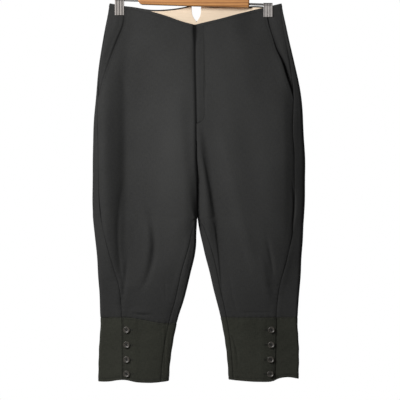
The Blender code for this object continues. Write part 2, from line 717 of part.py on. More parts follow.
def tube(name, path, radius, sides, finish):
    """A round wire along a list of points in the XZ plane, with flat ends."""
    bm = bmesh.new()
    path = np.array(path)
    direction = np.gradient(path, axis=0)
    direction /= np.linalg.norm(direction, axis=1)[:, None]
    rings = []
    for point, run in zip(path, direction):
        aside = np.array([run[2], 0.0, -run[0]])
        angles = [2 * np.pi * i / sides for i in range(sides)]
        rings.append([bm.verts.new(point + radius * (aside * np.cos(a) + np.array([0, 1.0, 0]) * np.sin(a)))
                      for a in angles])
    for low, high in zip(rings, rings[1:]):
        for i in range(sides):
            j = (i + 1) % sides
            bm.faces.new((low[i], low[j], high[j], high[i]))
    bm.faces.new(rings[0])
    bm.faces.new(rings[-1])
    return add_object(name, bm, finish)


def add_bar():
    """The wooden bar: rounded at the wearer's right end, with sockets for the rods and the hook."""
    bm = bmesh.new()
    outline = []
    for turn in np.linspace(np.pi / 2, 3 * np.pi / 2, TURN_POINTS):
        outline.append((-BAR_LENGTH / 2 + BAR_HEIGHT * BAR_END_ROUND * (1 + np.cos(turn)),
                        BAR_HEIGHT / 2 * (1 + np.sin(turn))))
    outline += [(BAR_LENGTH / 2, 0.0), (BAR_LENGTH / 2, BAR_HEIGHT)]
    faces = []
    for y in (-BAR_DEPTH / 2, BAR_DEPTH / 2):
        ring = [bm.verts.new((*tilted(a, u)[:1], y, tilted(a, u)[1])) for a, u in outline]
        faces.append(bm.faces.new(ring))
    bmesh.ops.bridge_loops(bm, edges=[e for f in faces for e in f.edges])
    bar = add_object("hanger_bar", bm, "wood")
    bevel = bar.modifiers.new("rounded edges", "BEVEL")
    bevel.width = BAR_EDGE_ROUND
    bevel.segments = BEVEL_STEPS
    bevel.limit_method = "ANGLE"
    bevel.angle_limit = BEVEL_ANGLE
    for cutter in socket_cutters():
        cut = bar.modifiers.new("socket", "BOOLEAN")
        cut.operation = "DIFFERENCE"
        cut.object = cutter


def socket_cutters():
    """Helper tubes that cut the two rod sockets and the hook's socket."""
    half = BAR_LENGTH / 2
    rod_up = ROD_ABOVE_BAR_EDGE
    runs = {
        "rod_socket_right": ((-half - SOCKET_CLEAR, rod_up), (-half + ROD_SOCKET, rod_up)),
        "rod_socket_left": ((half + SOCKET_CLEAR, rod_up), (half - ROD_SOCKET, rod_up)),
        "hook_socket": ((0.0, BAR_HEIGHT + SOCKET_CLEAR), (0.0, BAR_HEIGHT - STEM_SOCKET)),
    }
    cutters = []
    for name, ends in runs.items():
        radius = WIRE_RADIUS if name == "hook_socket" else ROD_RADIUS
        path = [(tilted(*end)[0], 0.0, tilted(*end)[1]) for end in ends]
        cutter = tube(name, path, radius + SEAM_GAP, TUBE_SIDES, "metal")
        cutter.hide_render = True
        cutter.display_type = "WIRE"
        cutters.append(cutter)
    return cutters


def rod_place(side):
    """Where the rod passes through a clip: how far along the bar, and the point's x and z."""
    x = CLIP_X[side]
    middle_x = tilted(0.0, ROD_ABOVE_BAR_EDGE)[0]
    along = (x - middle_x) / np.cos(HANGER_TILT)
    return along, tilted(along, ROD_ABOVE_BAR_EDGE)


def add_rod(side):
    """One rod end, from its socket in the bar to the outer side of its clip."""
    sign = SIDES[side]
    start = sign * (BAR_LENGTH / 2 - ROD_SOCKET + SEAM_GAP)
    end = rod_place(side)[0] + sign * (CLIP_WIDTH / 2 - ROD_SHORT)
    path = [(tilted(a, ROD_ABOVE_BAR_EDGE)[0], 0.0, tilted(a, ROD_ABOVE_BAR_EDGE)[1]) for a in (start, end)]
    tube("rod_" + side, path, ROD_RADIUS, TUBE_SIDES, "metal")


def add_clip(side):
    """A strip of metal folded over the rod, with its two jaws closed on the waist."""
    rod_z = rod_place(side)[1][1]
    bore = ROD_RADIUS + SEAM_GAP
    grip = PINCHED_HALF_DEPTH + SEAM_GAP
    low = WAIST_HEIGHT - CLIP_WAIST_DROP[side] - CLIP_BITE
    shoulder = rod_z - bore - CLIP_SHOULDER
    inner = [(-grip, low), (-grip, shoulder)]
    outer = [(-grip - CLIP_METAL, low), (-grip - CLIP_METAL, shoulder)]
    for turn in np.linspace(np.pi, 0.0, TURN_POINTS):
        inner.append((bore * np.cos(turn), rod_z + bore * np.sin(turn)))
        outer.append(((bore + CLIP_METAL) * np.cos(turn), rod_z + (bore + CLIP_METAL) * np.sin(turn)))
    inner += [(-y, z) for y, z in inner[1::-1]]
    outer += [(-y, z) for y, z in outer[1::-1]]
    outline = outer + inner[::-1]
    bm = bmesh.new()
    faces = []
    for aside in (-CLIP_WIDTH / 2, CLIP_WIDTH / 2):
        faces.append(bm.faces.new([bm.verts.new((CLIP_X[side] + aside, y, z)) for y, z in outline]))
    bmesh.ops.bridge_loops(bm, edges=[e for f in faces for e in f.edges])
    bmesh.ops.triangulate(bm, faces=bm.faces)
    add_object("clip_" + side, bm, "metal")


def add_hook():
    """The wire hook: up out of the bar, then over in a round turn whose inner top is the origin."""
    foot = np.array(tilted(0.0, BAR_HEIGHT - STEM_SOCKET + SEAM_GAP))
    neck = np.array(tilted(0.0, BAR_HEIGHT + HOOK_NECK))
    turn = HOOK_INNER_RADIUS + WIRE_RADIUS
    centre = np.array((0.0, -HOOK_INNER_RADIUS))
    start = centre + turn * np.array((np.cos(HOOK_START), np.sin(HOOK_START)))
    up = (neck - foot) / np.linalg.norm(neck - foot)
    onward = np.array((-np.sin(HOOK_START), np.cos(HOOK_START)))
    bend = np.linalg.norm(start - neck) * HOOK_BEND
    path = [foot]
    for t in np.linspace(0.0, 1.0, NECK_POINTS)[:-1]:
        path.append(neck * (1 - t) ** 3 + 3 * (neck + up * bend) * t * (1 - t) ** 2
                    + 3 * (start - onward * bend) * t ** 2 * (1 - t) + start * t ** 3)
    for angle in np.linspace(HOOK_START, HOOK_END, HOOK_POINTS):
        path.append(centre + turn * np.array((np.cos(angle), np.sin(angle))))
    tube("hanger_hook", [(x, 0.0, z) for x, z in path], WIRE_RADIUS, TUBE_SIDES, "metal")


def main():
    for old in list(bpy.data.objects):
        bpy.data.objects.remove(old)
    for side in SIDES:
        add_front(side)
        add_back(side)
        add_pocket(side)
        add_facing(side)
        add_cuffs(side)
        add_buttons(side)
        add_rod(side)
        add_clip(side)
    add_fly()
    add_bar()
    add_hook()


main()
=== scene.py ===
# The finish of the jodhpurs: creased cloth, sewing, buttons, hanger, light and camera
import bmesh
import bpy
import numpy as np
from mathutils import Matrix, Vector


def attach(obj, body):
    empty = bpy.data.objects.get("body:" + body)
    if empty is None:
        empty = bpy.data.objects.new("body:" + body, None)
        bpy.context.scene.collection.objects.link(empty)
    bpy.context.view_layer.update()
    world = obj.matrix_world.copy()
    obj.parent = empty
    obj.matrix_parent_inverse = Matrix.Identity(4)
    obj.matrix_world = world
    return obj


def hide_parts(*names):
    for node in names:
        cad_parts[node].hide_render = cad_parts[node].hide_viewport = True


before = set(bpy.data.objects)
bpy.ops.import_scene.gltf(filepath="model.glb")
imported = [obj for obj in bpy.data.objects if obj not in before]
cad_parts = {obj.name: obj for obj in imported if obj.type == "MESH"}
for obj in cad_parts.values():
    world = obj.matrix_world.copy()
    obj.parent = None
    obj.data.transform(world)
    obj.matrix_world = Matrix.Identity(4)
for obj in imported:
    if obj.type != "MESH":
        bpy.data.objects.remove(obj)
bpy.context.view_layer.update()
mm = 0.001

# Levels are millimetres below the waist at the side edges, widths millimetres from the middle plane.
garment = {
    "waistHeight": -0.129,       # z of the waist at the side edges
    "middleX": 0.005,            # x of the garment's middle plane
    "cloth": 0.0012,             # wall of the cloth
    "facingCloth": 0.0010,
    "seamGap": 0.0003,           # between two pieces at a seam
    "edgeRound": 0.00028,        # how far a cut edge bulges
    "crotch": 472.0,
    "flyEnd": 265.0,
    "pocketEnd": 213.0,
    "cuffTop": 690.0,
    "cuffDrop": {"right": 13.0, "left": 0.0},
    "pinchedHalfDepth": 0.0032,  # half the waist's depth inside a clip
    "clipX": {"right": -0.1655, "left": 0.161},
    "clipWidth": 0.020,
    "loopStep": 0.02,
    "innerTurn": {"right": 6.0, "left": 18.0},   # how far the inner edge of a leg takes to turn in
    "openTurn": 18.0,
    "legStart": {"right": 385.0, "left": 265.0},  # where the front's bulge starts to close toward the leg
    "legRun": 265.0,
    "skew": {"right": 0.62, "left": 0.85},       # below 1, a leg's front stands out nearer its inner edge
    "frontFlat": 0.42,           # how much flatter the front hangs than the back at the waist
    "flatEnd": 160.0,            # the level where that ends
    "bulgeReach": (0.5, 0.9),    # the trunk's bulge as a share of its width, at the waist and below fullLevel
    "fullLevel": 200.0,
    "creaseClear": 0.016,        # how near an edge the creases fade out
    "pinchFlat": 1.05,           # half the width that a clip closes, in clip widths
    "pinchLevel": 36.0,          # how far down a clip holds it closed
    "pinchFade": 75.0,           # and how far below that it opens again
    "pinchRun": {-1: 0.064, 1: 0.032},           # how far a clip's pinch reaches aside, by face
}
sign = {"right": -1.0, "left": 1.0}
halfGap = garment["seamGap"] / 2 / mm    # in levels, between each band and the cloth above it


def table(columns, rows):
    # one array for each named column
    return dict(zip(columns.split(), np.array(rows, float).T))


def named(columns, rows):
    # one dictionary for each row
    return [dict(zip(columns.split(), row)) for row in rows]


outline = table("level right left halfDepth edgeRadius", [
    (-10, 191.0, 185.0, 13.0, 3.6),
    (0, 192.5, 186.3, 14.0, 3.6),
    (58, 202.4, 197.1, 17.0, 4.4),
    (129, 214.1, 214.5, 21.0, 5.8),
    (199, 221.8, 229.2, 25.0, 8.0),
    (270, 227.3, 234.1, 27.5, 10.0),
    (340, 229.2, 238.0, 28.5, 11.5),
    (410, 230.1, 236.9, 28.0, 12.0),
    (472, 228.4, 235.2, 26.0, 11.5),
    (551, 220.9, 231.0, 22.0, 10.0),
    (622, 215.8, 225.7, 17.5, 8.0),
    (692, 212.0, 221.1, 12.5, 6.0),
    (762, 215.8, 224.4, 11.0, 5.0),
    (840, 217.6, 223.3, 11.0, 5.0),
])

# the inner edge of each leg, and how far the inseam lies from it on the front
insideLeg = table("level rightEdge leftEdge rightSeam leftSeam", [
    (472, -0.6, 0.9, 0.0, 0.0),
    (486, 0.2, 3.2, 6.0, 8.0),
    (508, 1.0, 7.5, 11.5, 12.5),
    (530, 1.4, 13.0, 15.0, 15.0),
    (551, 4.4, 18.0, 18.0, 16.5),
    (587, 13.0, 26.6, 20.0, 16.5),
    (622, 21.4, 34.3, 19.5, 15.5),
    (657, 30.8, 43.2, 18.0, 14.5),
    (692, 41.4, 52.0, 17.6, 13.0),
    (727, 49.2, 59.0, 17.6, 11.5),
    (762, 55.2, 64.2, 17.6, 10.5),
    (797, 59.6, 67.6, 17.6, 10.0),
    (840, 62.0, 70.2, 17.6, 10.0),
])

middle = table("level front back", [
    (-10, -5.3, -1.3),
    (120, -4.0, -0.6),
    (270, -1.2, 0.3),
    (472, 0.7, 0.7),
    (840, 0.7, 0.7),
])

# how far the side seam lies from the outer edge, on the front
sideSeam = table("level right left", [
    (-10, 1.0, 4.0),
    (100, 2.0, 9.0),
    (205, 4.0, 18.0),
    (270, 9.0, 24.0),
    (340, 13.0, 25.0),
    (440, 16.0, 22.0),
    (492, 20.0, 24.0),
    (530, 25.0, 28.0),
    (570, 33.0, 35.0),
    (626, 45.0, 45.0),
    (692, 46.5, 47.0),
    (762, 51.0, 52.0),
    (840, 53.0, 53.0),
])

pocketSlant = table("level right left", [
    (-10, 158.0, 146.0),
    (17, 160.0, 152.0),
    (47, 163.5, 158.0),
    (78, 175.5, 167.5),
    (102, 185.0, 174.5),
    (127, 194.0, 185.5),
    (162, 205.5, 196.0),
    (200, 215.5, 209.0),
    (213, 219.5, 212.5),
    (840, 219.5, 212.5),
])

# the waist edges, by share of the way from the middle to the side
waist = table("share rightFront leftFront rightBack leftBack", [
    (0.00, 47.8, 47.8, -1.0, -1.0),
    (0.12, 42.0, 42.0, 5.0, 3.2),
    (0.33, 28.0, 32.0, 11.0, 4.6),
    (0.50, 18.5, 23.0, 12.0, 4.8),
    (0.67, 10.5, 14.5, 8.5, 5.0),
    (0.84, 5.5, 7.4, 5.0, 6.2),
    (1.00, 0.0, 0.0, 0.0, 0.0),
])

# the hems, by share of the way from the inner edge to the outer edge
hem = table("share right left", [
    (0.00, 830.0, 827.0),
    (0.20, 833.0, 829.5),
    (0.45, 832.0, 831.0),
    (0.64, 827.0, 829.0),
    (0.72, 828.0, 824.0),
    (0.85, 831.0, 821.5),
    (1.00, 831.0, 825.0),
])

# half the width of the notch at the centre back
notch = table("level halfWidth", [
    (-10, 10.2),
    (15, 10.0),
    (22, 9.2),
    (29, 6.6),
    (35, 2.6),
    (38, 0.0),
    (840, 0.0),
])

# Creases, each on a curve through three points. face is -1 in front and 1 behind. inward and outward are
# half widths toward and away from the middle plane, and rise is outward, so a trough is negative.
creases = named("side face topX topLevel midX midLevel lowX lowLevel inward outward rise", [
    # wearer's left front
    ("left", -1, 12, 262, 37, 405, 67, 610, 11, 30, -8.0),
    ("left", -1, 7, 290, 17, 400, 32, 560, 8, 9, 4.0),
    ("left", -1, 48, 250, 94, 440, 152, 640, 14, 60, 4.5),
    ("left", -1, 151, 500, 161, 550, 168, 606, 6, 4, -1.2),
    ("left", -1, 182, 90, 187, 320, 184, 620, 54, 27, 13.0),
    ("left", -1, 140, 540, 146, 590, 160, 660, 9, 9, 2.0),
    # wearer's right front
    ("right", -1, -46, 190, -30, 380, -28, 640, 16, 44, 5.0),
    ("right", -1, -150, 50, -151, 330, -158, 620, 68, 19, -11.5),
    ("right", -1, -197, 120, -202, 330, -187, 610, 22, 16, 12.0),
    ("right", -1, -116, 425, -96, 560, -128, 636, 6, 4, -2.2),
    ("right", -1, -128, 425, -110, 556, -142, 632, 6, 15, 3.0),
    ("right", -1, -150, 560, -158, 610, -168, 680, 6, 6, -2.5),
    # wearer's right back
    ("right", 1, -20, 120, -34, 330, -64, 600, 14, 14, 5.0),
    ("right", 1, -52, 150, -78, 330, -100, 560, 12, 12, -6.0),
    ("right", 1, -120, 200, -116, 400, -126, 640, 22, 22, 5.0),
    ("right", 1, -168, 120, -160, 330, -150, 600, 13, 13, -5.0),
    ("right", 1, -92, 470, -112, 560, -136, 670, 9, 9, -4.0),
    # wearer's left back
    ("left", 1, 24, 150, 40, 360, 76, 630, 15, 15, 5.0),
    ("left", 1, 60, 190, 90, 390, 112, 600, 11, 11, -6.5),
    ("left", 1, 128, 130, 132, 330, 136, 590, 21, 21, 5.0),
    ("left", 1, 178, 150, 172, 350, 158, 640, 12, 12, -6.0),
    ("left", 1, 104, 500, 126, 590, 150, 680, 8, 8, -4.0),
])

# Fine creases, each a bow from one point to another. bend is its offset halfway, to the right of a downward
# line. below and beyond are its half widths on its two sides: left and right of a downward line, or under and
# over a line that runs to the right.
fineCreases = named("side face fromX fromLevel toX toLevel bend below beyond rise", [
    # wearer's right front
    ("right", -1, -112, 458, -122, 634, 22, 2.0, 5.0, -1.8),
    ("right", -1, -119, 458, -131, 634, 21, 7.0, 2.5, 1.5),
    ("right", -1, -160, 120, -157, 430, 0, 12.0, 5.0, -1.2),
    ("right", -1, -168, 148, -153, 214, 0, 5.0, 5.0, -0.8),
    ("right", -1, -158, 385, -157, 640, -14, 6.0, 2.2, -1.8),
    ("right", -1, -151, 540, -159, 652, 0, 4.0, 2.0, -1.0),
    ("right", -1, -142, 682, -100, 685, -1.5, 1.8, 4.0, -1.5),
    ("right", -1, -146, 675, -98, 678, -1.5, 3.0, 6.0, 1.2),
    ("right", -1, -143, 485, -139, 545, 2, 3.0, 3.0, -0.7),
    ("right", -1, -71, 600, -69, 652, 1, 2.0, 2.0, -0.5),
    # wearer's left front
    ("left", -1, 12, 320, 55, 650, 7, 2.0, 6.0, -2.6),
    ("left", -1, 150, 515, 167, 598, 2, 1.8, 3.0, -1.2),
    ("left", -1, 60, 380, 126, 600, 0, 7.0, 20.0, 2.6),
    ("left", -1, 15, 140, 16, 255, 0.5, 1.6, 2.2, -0.6),
    ("left", -1, 209, 392, 208, 500, 6, 3.5, 2.0, -2.2),
    ("left", -1, 48, 400, 50, 505, 2, 1.8, 1.8, -0.6),
    ("left", -1, 61, 440, 62, 520, -1, 1.8, 1.8, -0.6),
    ("left", -1, 70, 590, 92, 690, -3, 3.0, 3.0, -0.7),
    ("left", -1, 88, 681, 168, 679, 1, 2.0, 3.0, -0.8),
    # wearer's right back
    ("right", 1, -30, 300, -96, 620, -10, 3.0, 6.0, -1.4),
    ("right", 1, -178, 210, -168, 470, 6, 5.0, 2.5, -1.6),
    ("right", 1, -150, 676, -84, 684, 2, 2.0, 4.0, -1.3),
    ("right", 1, -64, 130, -80, 240, 4, 2.5, 2.5, -0.6),
    # wearer's left back
    ("left", 1, 22, 330, 88, 600, 12, 2.5, 5.5, -1.5),
    ("left", 1, 186, 260, 180, 430, -5, 2.5, 5.0, -1.5),
    ("left", 1, 92, 683, 150, 676, 2, 2.0, 4.0, -1.3),
    ("left", 1, 96, 140, 84, 230, 3, 2.0, 3.0, -0.6),
    # leg bands
    ("right", -1, -129, 690, -129, 729, 0.5, 1.3, 1.3, -0.7),
    ("right", -1, -66, 698, -70, 812, -2, 2.0, 2.4, -0.9),
    ("right", -1, -60, 712, -62, 792, 1, 1.4, 1.4, -0.5),
    ("right", -1, -77, 703, -74, 764, -1, 1.6, 1.6, -0.4),
    ("right", -1, -84, 705, -46, 708, 1, 1.6, 1.6, -0.6),
    ("right", -1, -92, 803, -70, 801, 1, 1.5, 1.5, -0.4),
    ("left", -1, 153, 692, 152, 724, 0.5, 1.3, 1.3, -0.7),
    ("left", -1, 92, 692, 92, 722, 0.5, 1.3, 1.3, -0.6),
    ("left", -1, 69, 712, 89, 806, 7, 2.2, 2.0, -1.0),
    ("left", -1, 64, 712, 82, 790, 6, 2.0, 2.0, 0.7),
    ("left", -1, 78, 812, 112, 814, -1, 1.6, 2.4, -0.5),
    ("left", -1, 198, 821, 214, 818, 0, 1.5, 1.5, -0.4),
    ("right", 1, -140, 700, -132, 800, -3, 2.0, 3.0, -0.8),
    ("right", 1, -84, 700, -92, 815, 3, 2.0, 2.0, -0.7),
    ("left", 1, 96, 700, 104, 812, 4, 2.0, 2.4, -0.9),
    ("left", 1, 160, 704, 152, 770, 2, 1.8, 1.8, -0.5),
])


def smooth(t):
    # 0 to 1 with level ends: t squared times (3 - 2 t)
    t = np.clip(t, 0.0, 1.0)
    return t * t * (3.0 - 2.0 * t)


def downPast(level, span):
    # 0 above a span of levels, 1 below it
    return smooth((level - span[0]) / (span[1] - span[0]))


def quarterRound(t):
    # the height of a quarter circle of radius 1, level past 1
    return np.sqrt(np.clip(1.0 - (1.0 - np.clip(t, 0.0, 1.0)) ** 2, 0.0, 1.0))


def bell(t):
    # 1 at t = 0, dying away as e to the minus t squared
    return np.exp(-t ** 2)


def curveOf(columns, name, at):
    # a Hermite curve through one column of a table against its first, sloped by the neighbouring rows
    x, y = next(iter(columns.values())), columns[name]
    slope = np.gradient(y, x)
    i = np.clip(np.searchsorted(x, at, side="right") - 1, 0, len(x) - 2)
    run = x[i + 1] - x[i]
    t = np.clip((at - x[i]) / run, 0.0, 1.0)
    return (y[i] * (1 + 2 * t) * (1 - t) ** 2 + slope[i] * run * t * (1 - t) ** 2
            + y[i + 1] * t * t * (3 - 2 * t) - slope[i + 1] * run * t * t * (1 - t))


def faceOf(loop):
    # -1 on the front of the loop, 1 on the back
    return np.where((loop > 1.0) & (loop <= 2.0) | (loop < 0.0), 1.0, -1.0)


def shareOf(loop):
    # how far a loop position lies from the inner edge toward the outer: (1 - cos(pi loop)) / 2
    return (1.0 - np.cos(np.pi * loop)) / 2.0


def edgesOf(side, loop, level):
    # x of the inner and the outer edge, from the middle plane, in metres
    centre = np.where(faceOf(loop) > 0, curveOf(middle, "back", level),
                      curveOf(middle, "front", level))
    trunk = centre * mm + sign[side] * garment["seamGap"] / 2
    leg = sign[side] * curveOf(insideLeg, side + "Edge", level) * mm
    inner = np.where(level < garment["crotch"], trunk, leg)
    return inner, sign[side] * curveOf(outline, side, level) * mm


def creaseHeight(side, loop, x, level):
    # each crease is its rise, times a bell across its curve, times a sine to the power 0.8 along it
    face = faceOf(loop)
    height = np.zeros(np.broadcast(x, level).shape)
    for crease in creases:
        if crease["side"] != side:
            continue
        run = crease["lowLevel"] - crease["topLevel"]
        t = np.clip((level - crease["topLevel"]) / run, 0.0, 1.0)
        m = (crease["midLevel"] - crease["topLevel"]) / run
        line = (crease["topX"] * (t - m) * (t - 1) / m + crease["midX"] * t * (t - 1) / (m * (m - 1))
                + crease["lowX"] * t * (t - m) / (1 - m))
        aside = (x / mm - line) * sign[side]
        width = np.where(aside > 0, crease["outward"], crease["inward"])
        lift = crease["rise"] * mm * np.sin(np.pi * t) ** 0.8 * bell(aside / width)
        height += np.where(face == crease["face"], lift, 0.0)
    return height


def fineHeight(side, face, x, level):
    # a fine crease's rise, times a bell across its bow, times a sine along it
    height = np.zeros(np.broadcast(x, level).shape)
    for crease in fineCreases:
        if crease["side"] != side:
            continue
        run = np.array([crease["toX"] - crease["fromX"], crease["toLevel"] - crease["fromLevel"]], float)
        length = np.hypot(*run)
        run = run / length
        fromX, fromLevel = x / mm - crease["fromX"], level - crease["fromLevel"]
        t = np.clip((fromX * run[0] + fromLevel * run[1]) / length, 0.0, 1.0)
        aside = fromX * run[1] - fromLevel * run[0] - crease["bend"] * 4 * t * (1 - t)
        width = np.where(aside > 0, crease["beyond"], crease["below"])
        lift = crease["rise"] * mm * np.sin(np.pi * t) ** 0.7 * bell(aside / width)
        height += np.where(face == crease["face"], lift, 0.0)
    return height


def pinchOf(face, x, level):
    # 1 where a clip closes the waist, fading to 0 around it and below it
    total = 0.0
    run = np.where(face < 0, garment["pinchRun"][-1], garment["pinchRun"][1])
    below = level - garment["pinchLevel"]
    for clip in garment["clipX"].values():
        aside = np.abs(x + garment["middleX"] - clip) - garment["clipWidth"] * garment["pinchFlat"]
        total = total + (1 - smooth(aside / run)) * (1 - smooth(below / garment["pinchFade"]))
    return np.clip(total, 0.0, 1.0)


def loopPoint(side, loop, level):
    # The outer face of the cloth as x and y. Half the depth is a quarter round at the outer edge and a bulge,
    # which is a sine squared of the share, closed at the inner edge in the legs and open in the trunk.
    loop = np.asarray(loop, float) + 0.0 * level
    level = np.asarray(level, float) + 0.0 * loop
    inner, outer = edgesOf(side, loop, level)
    share = shareOf(loop)
    x = inner + (outer - inner) * share
    fromInner, fromOuter = np.abs(x - inner), np.abs(outer - x)
    face = faceOf(loop)
    flatter = np.where(face < 0, garment["frontFlat"] * (1 - smooth(level / garment["flatEnd"])), 0.0)
    depth = curveOf(outline, "halfDepth", level) * mm * (1 - flatter)
    radius = curveOf(outline, "edgeRadius", level) * mm
    crotch, flyEnd = garment["crotch"], garment["flyEnd"]
    openness = quarterRound((crotch - level) / (crotch - flyEnd))
    start = np.where(face < 0, garment["legStart"][side], flyEnd)
    legness = smooth((level - start) / garment["legRun"])
    least, most = garment["bulgeReach"]
    reach = least + (most - least) * smooth(level / garment["fullLevel"])
    trunkBulge = np.sin(np.pi / 2 * np.minimum((1 - share) / reach, 1.0)) ** 2
    legBulge = np.sin(np.pi * share ** np.where(face < 0, garment["skew"][side], 1.0)) ** 2
    bulge = trunkBulge * (1 - legness) + legBulge * legness
    edge = radius * quarterRound(fromOuter / radius)
    turnIn = fromInner / ((garment["innerTurn"][side] + garment["openTurn"] * openness) * mm)
    soft = np.sin(np.pi / 2 * np.minimum(turnIn, 1.0)) * openness + quarterRound(turnIn) * (1 - openness)
    half = (edge + (depth - radius) * bulge) * (openness + (1 - openness) * soft)
    closed = pinchOf(face, x, level)
    half = half * (1 - closed) + np.minimum(half, garment["pinchedHalfDepth"]) * closed
    clearInner = openness + (1 - openness) * smooth(fromInner / garment["creaseClear"])
    clear = smooth(fromOuter / garment["creaseClear"]) * clearInner
    half = half + creaseHeight(side, loop, x, level) * clear * (1 - closed)
    return x + garment["middleX"], face * half


def clothPoint(side, loop, level, inset):
    # a point of the cloth, moved in from its outer face, square to the loop
    loop = loop + 0.0 * np.asarray(level)
    level = level + 0.0 * loop
    x, y = loopPoint(side, loop, level)
    low, high = loop - garment["loopStep"], loop + garment["loopStep"]
    trunk = level < garment["crotch"]
    low = np.where(trunk & (loop <= 1.0), np.maximum(low, 0.0), low)
    high = np.where(trunk & (loop > 1.0), np.minimum(high, 2.0), high)
    x0, y0 = loopPoint(side, low, level)
    x1, y1 = loopPoint(side, high, level)
    length = np.hypot(x1 - x0, y1 - y0)
    inX, inY = -(y1 - y0) * sign[side] / length, (x1 - x0) * sign[side] / length
    return np.stack([x + inX * inset, y + inY * inset, garment["waistHeight"] - level * mm + 0.0 * x], -1)


def loopAt(side, distance, level, edge):
    # the loop position on the front at a distance from the inner or outer edge
    inner, outer = edgesOf(side, np.full(np.shape(level), 0.5), level)
    part = np.clip(distance / np.abs(outer - inner), 0.0, 1.0)
    position = np.arccos(1.0 - 2.0 * part) / np.pi
    return position if edge == "inner" else 1.0 - position


def trimmed(side, loop, level, direction):
    # a seam's loop position, drawn back along the cloth by half the seam gap
    x0, y0 = loopPoint(side, loop - 0.001, level)
    x1, y1 = loopPoint(side, loop + 0.001, level)
    speed = np.hypot(x1 - x0, y1 - y0) / 0.002
    return loop + direction * garment["seamGap"] / 2 / np.maximum(speed, 0.01)


def inseamAt(side, level):
    # the inseam's loop position: on the inner edge in the trunk, at its distance from that in the legs
    offset = np.where(level <= garment["crotch"], 0.0, curveOf(insideLeg, side + "Seam", level))
    return loopAt(side, offset * mm, level, "inner")


def sideSeamAt(side, level):
    # the side seam's loop position, from its distance to the outer edge
    return loopAt(side, curveOf(sideSeam, side, level) * mm, level, "outer")


def seamEdge(side, seam, direction, start=0.0):
    # a panel's edge at a seam, as a function of level
    return lambda level: trimmed(side, start + seam(side, level), level, direction)


def pocketAt(side, level):
    # the slant edge of the pocket, then the side seam below it
    fromOuter = (curveOf(outline, side, level) - curveOf(pocketSlant, side, level)) * mm
    slant = loopAt(side, np.maximum(fromOuter, 0.0), level, "outer")
    seam = sideSeamAt(side, level)
    return np.where(level < garment["pocketEnd"], np.minimum(slant, seam), seam)


def backEndAt(side, level):
    # the notch and the centre back, then the inseam by way of the inner edge
    half = loopAt(side, curveOf(notch, "halfWidth", level) * mm, level, "inner")
    return np.where(level < garment["crotch"], 2.0 - half, seamEdge(side, inseamAt, -1.0, 2.0)(level))


def waistLevel(side, loop, face):
    # the waist edge of one face, read off its table by share
    return curveOf(waist, side + face, shareOf(loop))


def cuffSeamLevel(side, loop):
    # the top of the leg band, lower toward the inner edge by a smooth step
    return garment["cuffTop"] + garment["cuffDrop"][side] * (1 - smooth((shareOf(loop) - 0.1) / 0.6))


def hemLevel(side, loop):
    # the hem, read off its table by share
    return curveOf(hem, side, shareOf(loop))


def easedSteps(count, ease):
    # steps from 0 to 1 that draw together toward both ends: t - ease sin(2 pi t) / (2 pi)
    t = np.linspace(0.0, 1.0, count)
    return t - ease * np.sin(2 * np.pi * t) / (2 * np.pi)


def panelGrid(first, last, top, bottom, columns, rows, ease=0.6, easeDown=0.55):
    # loop positions and levels between two side edges, given by level, and two ends, given by loop position
    across = easedSteps(columns, ease)
    down = easedSteps(rows, easeDown)[:, None]
    midway = np.full(columns, 400.0)
    guess = first(midway) * (1 - across) + last(midway) * across
    topLoop = first(top(guess)) * (1 - across) + last(top(guess)) * across
    lowLoop = first(bottom(guess)) * (1 - across) + last(bottom(guess)) * across
    levels = top(topLoop) * (1 - down) + bottom(lowLoop) * down
    return first(levels) * (1 - across) + last(levels) * across, levels


def lengthsOf(points):
    # length along the rows and down the columns
    across, down = np.zeros(points.shape[:2]), np.zeros(points.shape[:2])
    across[:, 1:] = np.cumsum(np.linalg.norm(np.diff(points, axis=1), axis=-1), axis=1)
    down[1:] = np.cumsum(np.linalg.norm(np.diff(points, axis=0), axis=-1), axis=0)
    return across, down


def normalsOf(points, turn):
    # the cross product of the steps down and across, turned outward
    normal = turn * np.cross(np.gradient(points, axis=0), np.gradient(points, axis=1))
    return normal / np.linalg.norm(normal, axis=-1, keepdims=True)


def panelOf(side, loops, levels, inset, relief):
    # a panel with its edge distances, its points moved out along their normals by relief(distances, levels)
    points = clothPoint(side, loops, levels, inset)
    across, down = lengthsOf(points)
    near = {"first": across, "last": across[:, -1:] - across, "top": down, "bottom": down[-1:] - down}
    fine = fineHeight(side, faceOf(loops), points[..., 0] - garment["middleX"], levels)
    points = points + normalsOf(points, sign[side]) * (relief(near, levels) + fine)[..., None]
    start = points[:, :1, 0] if loops[0, 0] <= 1.0 and loops[0, -1] <= 1.0 else points[:, -1:, 0]
    run = across if loops[0, -1] <= 1.0 else near["last"]
    return {"points": points, "normals": normalsOf(points, sign[side]), "near": near, "turn": sign[side],
            "grain": np.stack([sign[side] * start + run, levels * mm], -1)}


seamSettings = {
    "roll": 0.0006,          # how deep the cloth rolls into a seam
    "rollWidth": 0.0017,
    "allowance": 0.00022,    # the ridge that the seam allowance makes
    "allowanceAt": 0.0075,
    "allowanceWidth": 0.004,
    "pucker": 0.00020,
    "puckerWave": 0.0105,
    "puckerWidth": 0.0085,
}


def seamRelief(distance, along, strength=1.0, pucker=1.0):
    # minus a bell at the seam, plus a low ridge over the allowance, plus a ripple whose phase wanders
    s = seamSettings
    wander = 2.2 * np.sin(along / 0.037) + 1.4 * np.sin(along / 0.083 + 1.0)
    wave = 2 * np.pi * along / s["puckerWave"] + wander
    uneven = 0.6 + 0.4 * np.sin(along / 0.051 + 0.7)
    return strength * (-s["roll"] * bell(distance / s["rollWidth"])
                       + s["allowance"] * bell((distance - s["allowanceAt"]) / s["allowanceWidth"])
                       + pucker * s["pucker"] * uneven * np.sin(wave) * bell(distance / s["puckerWidth"]))


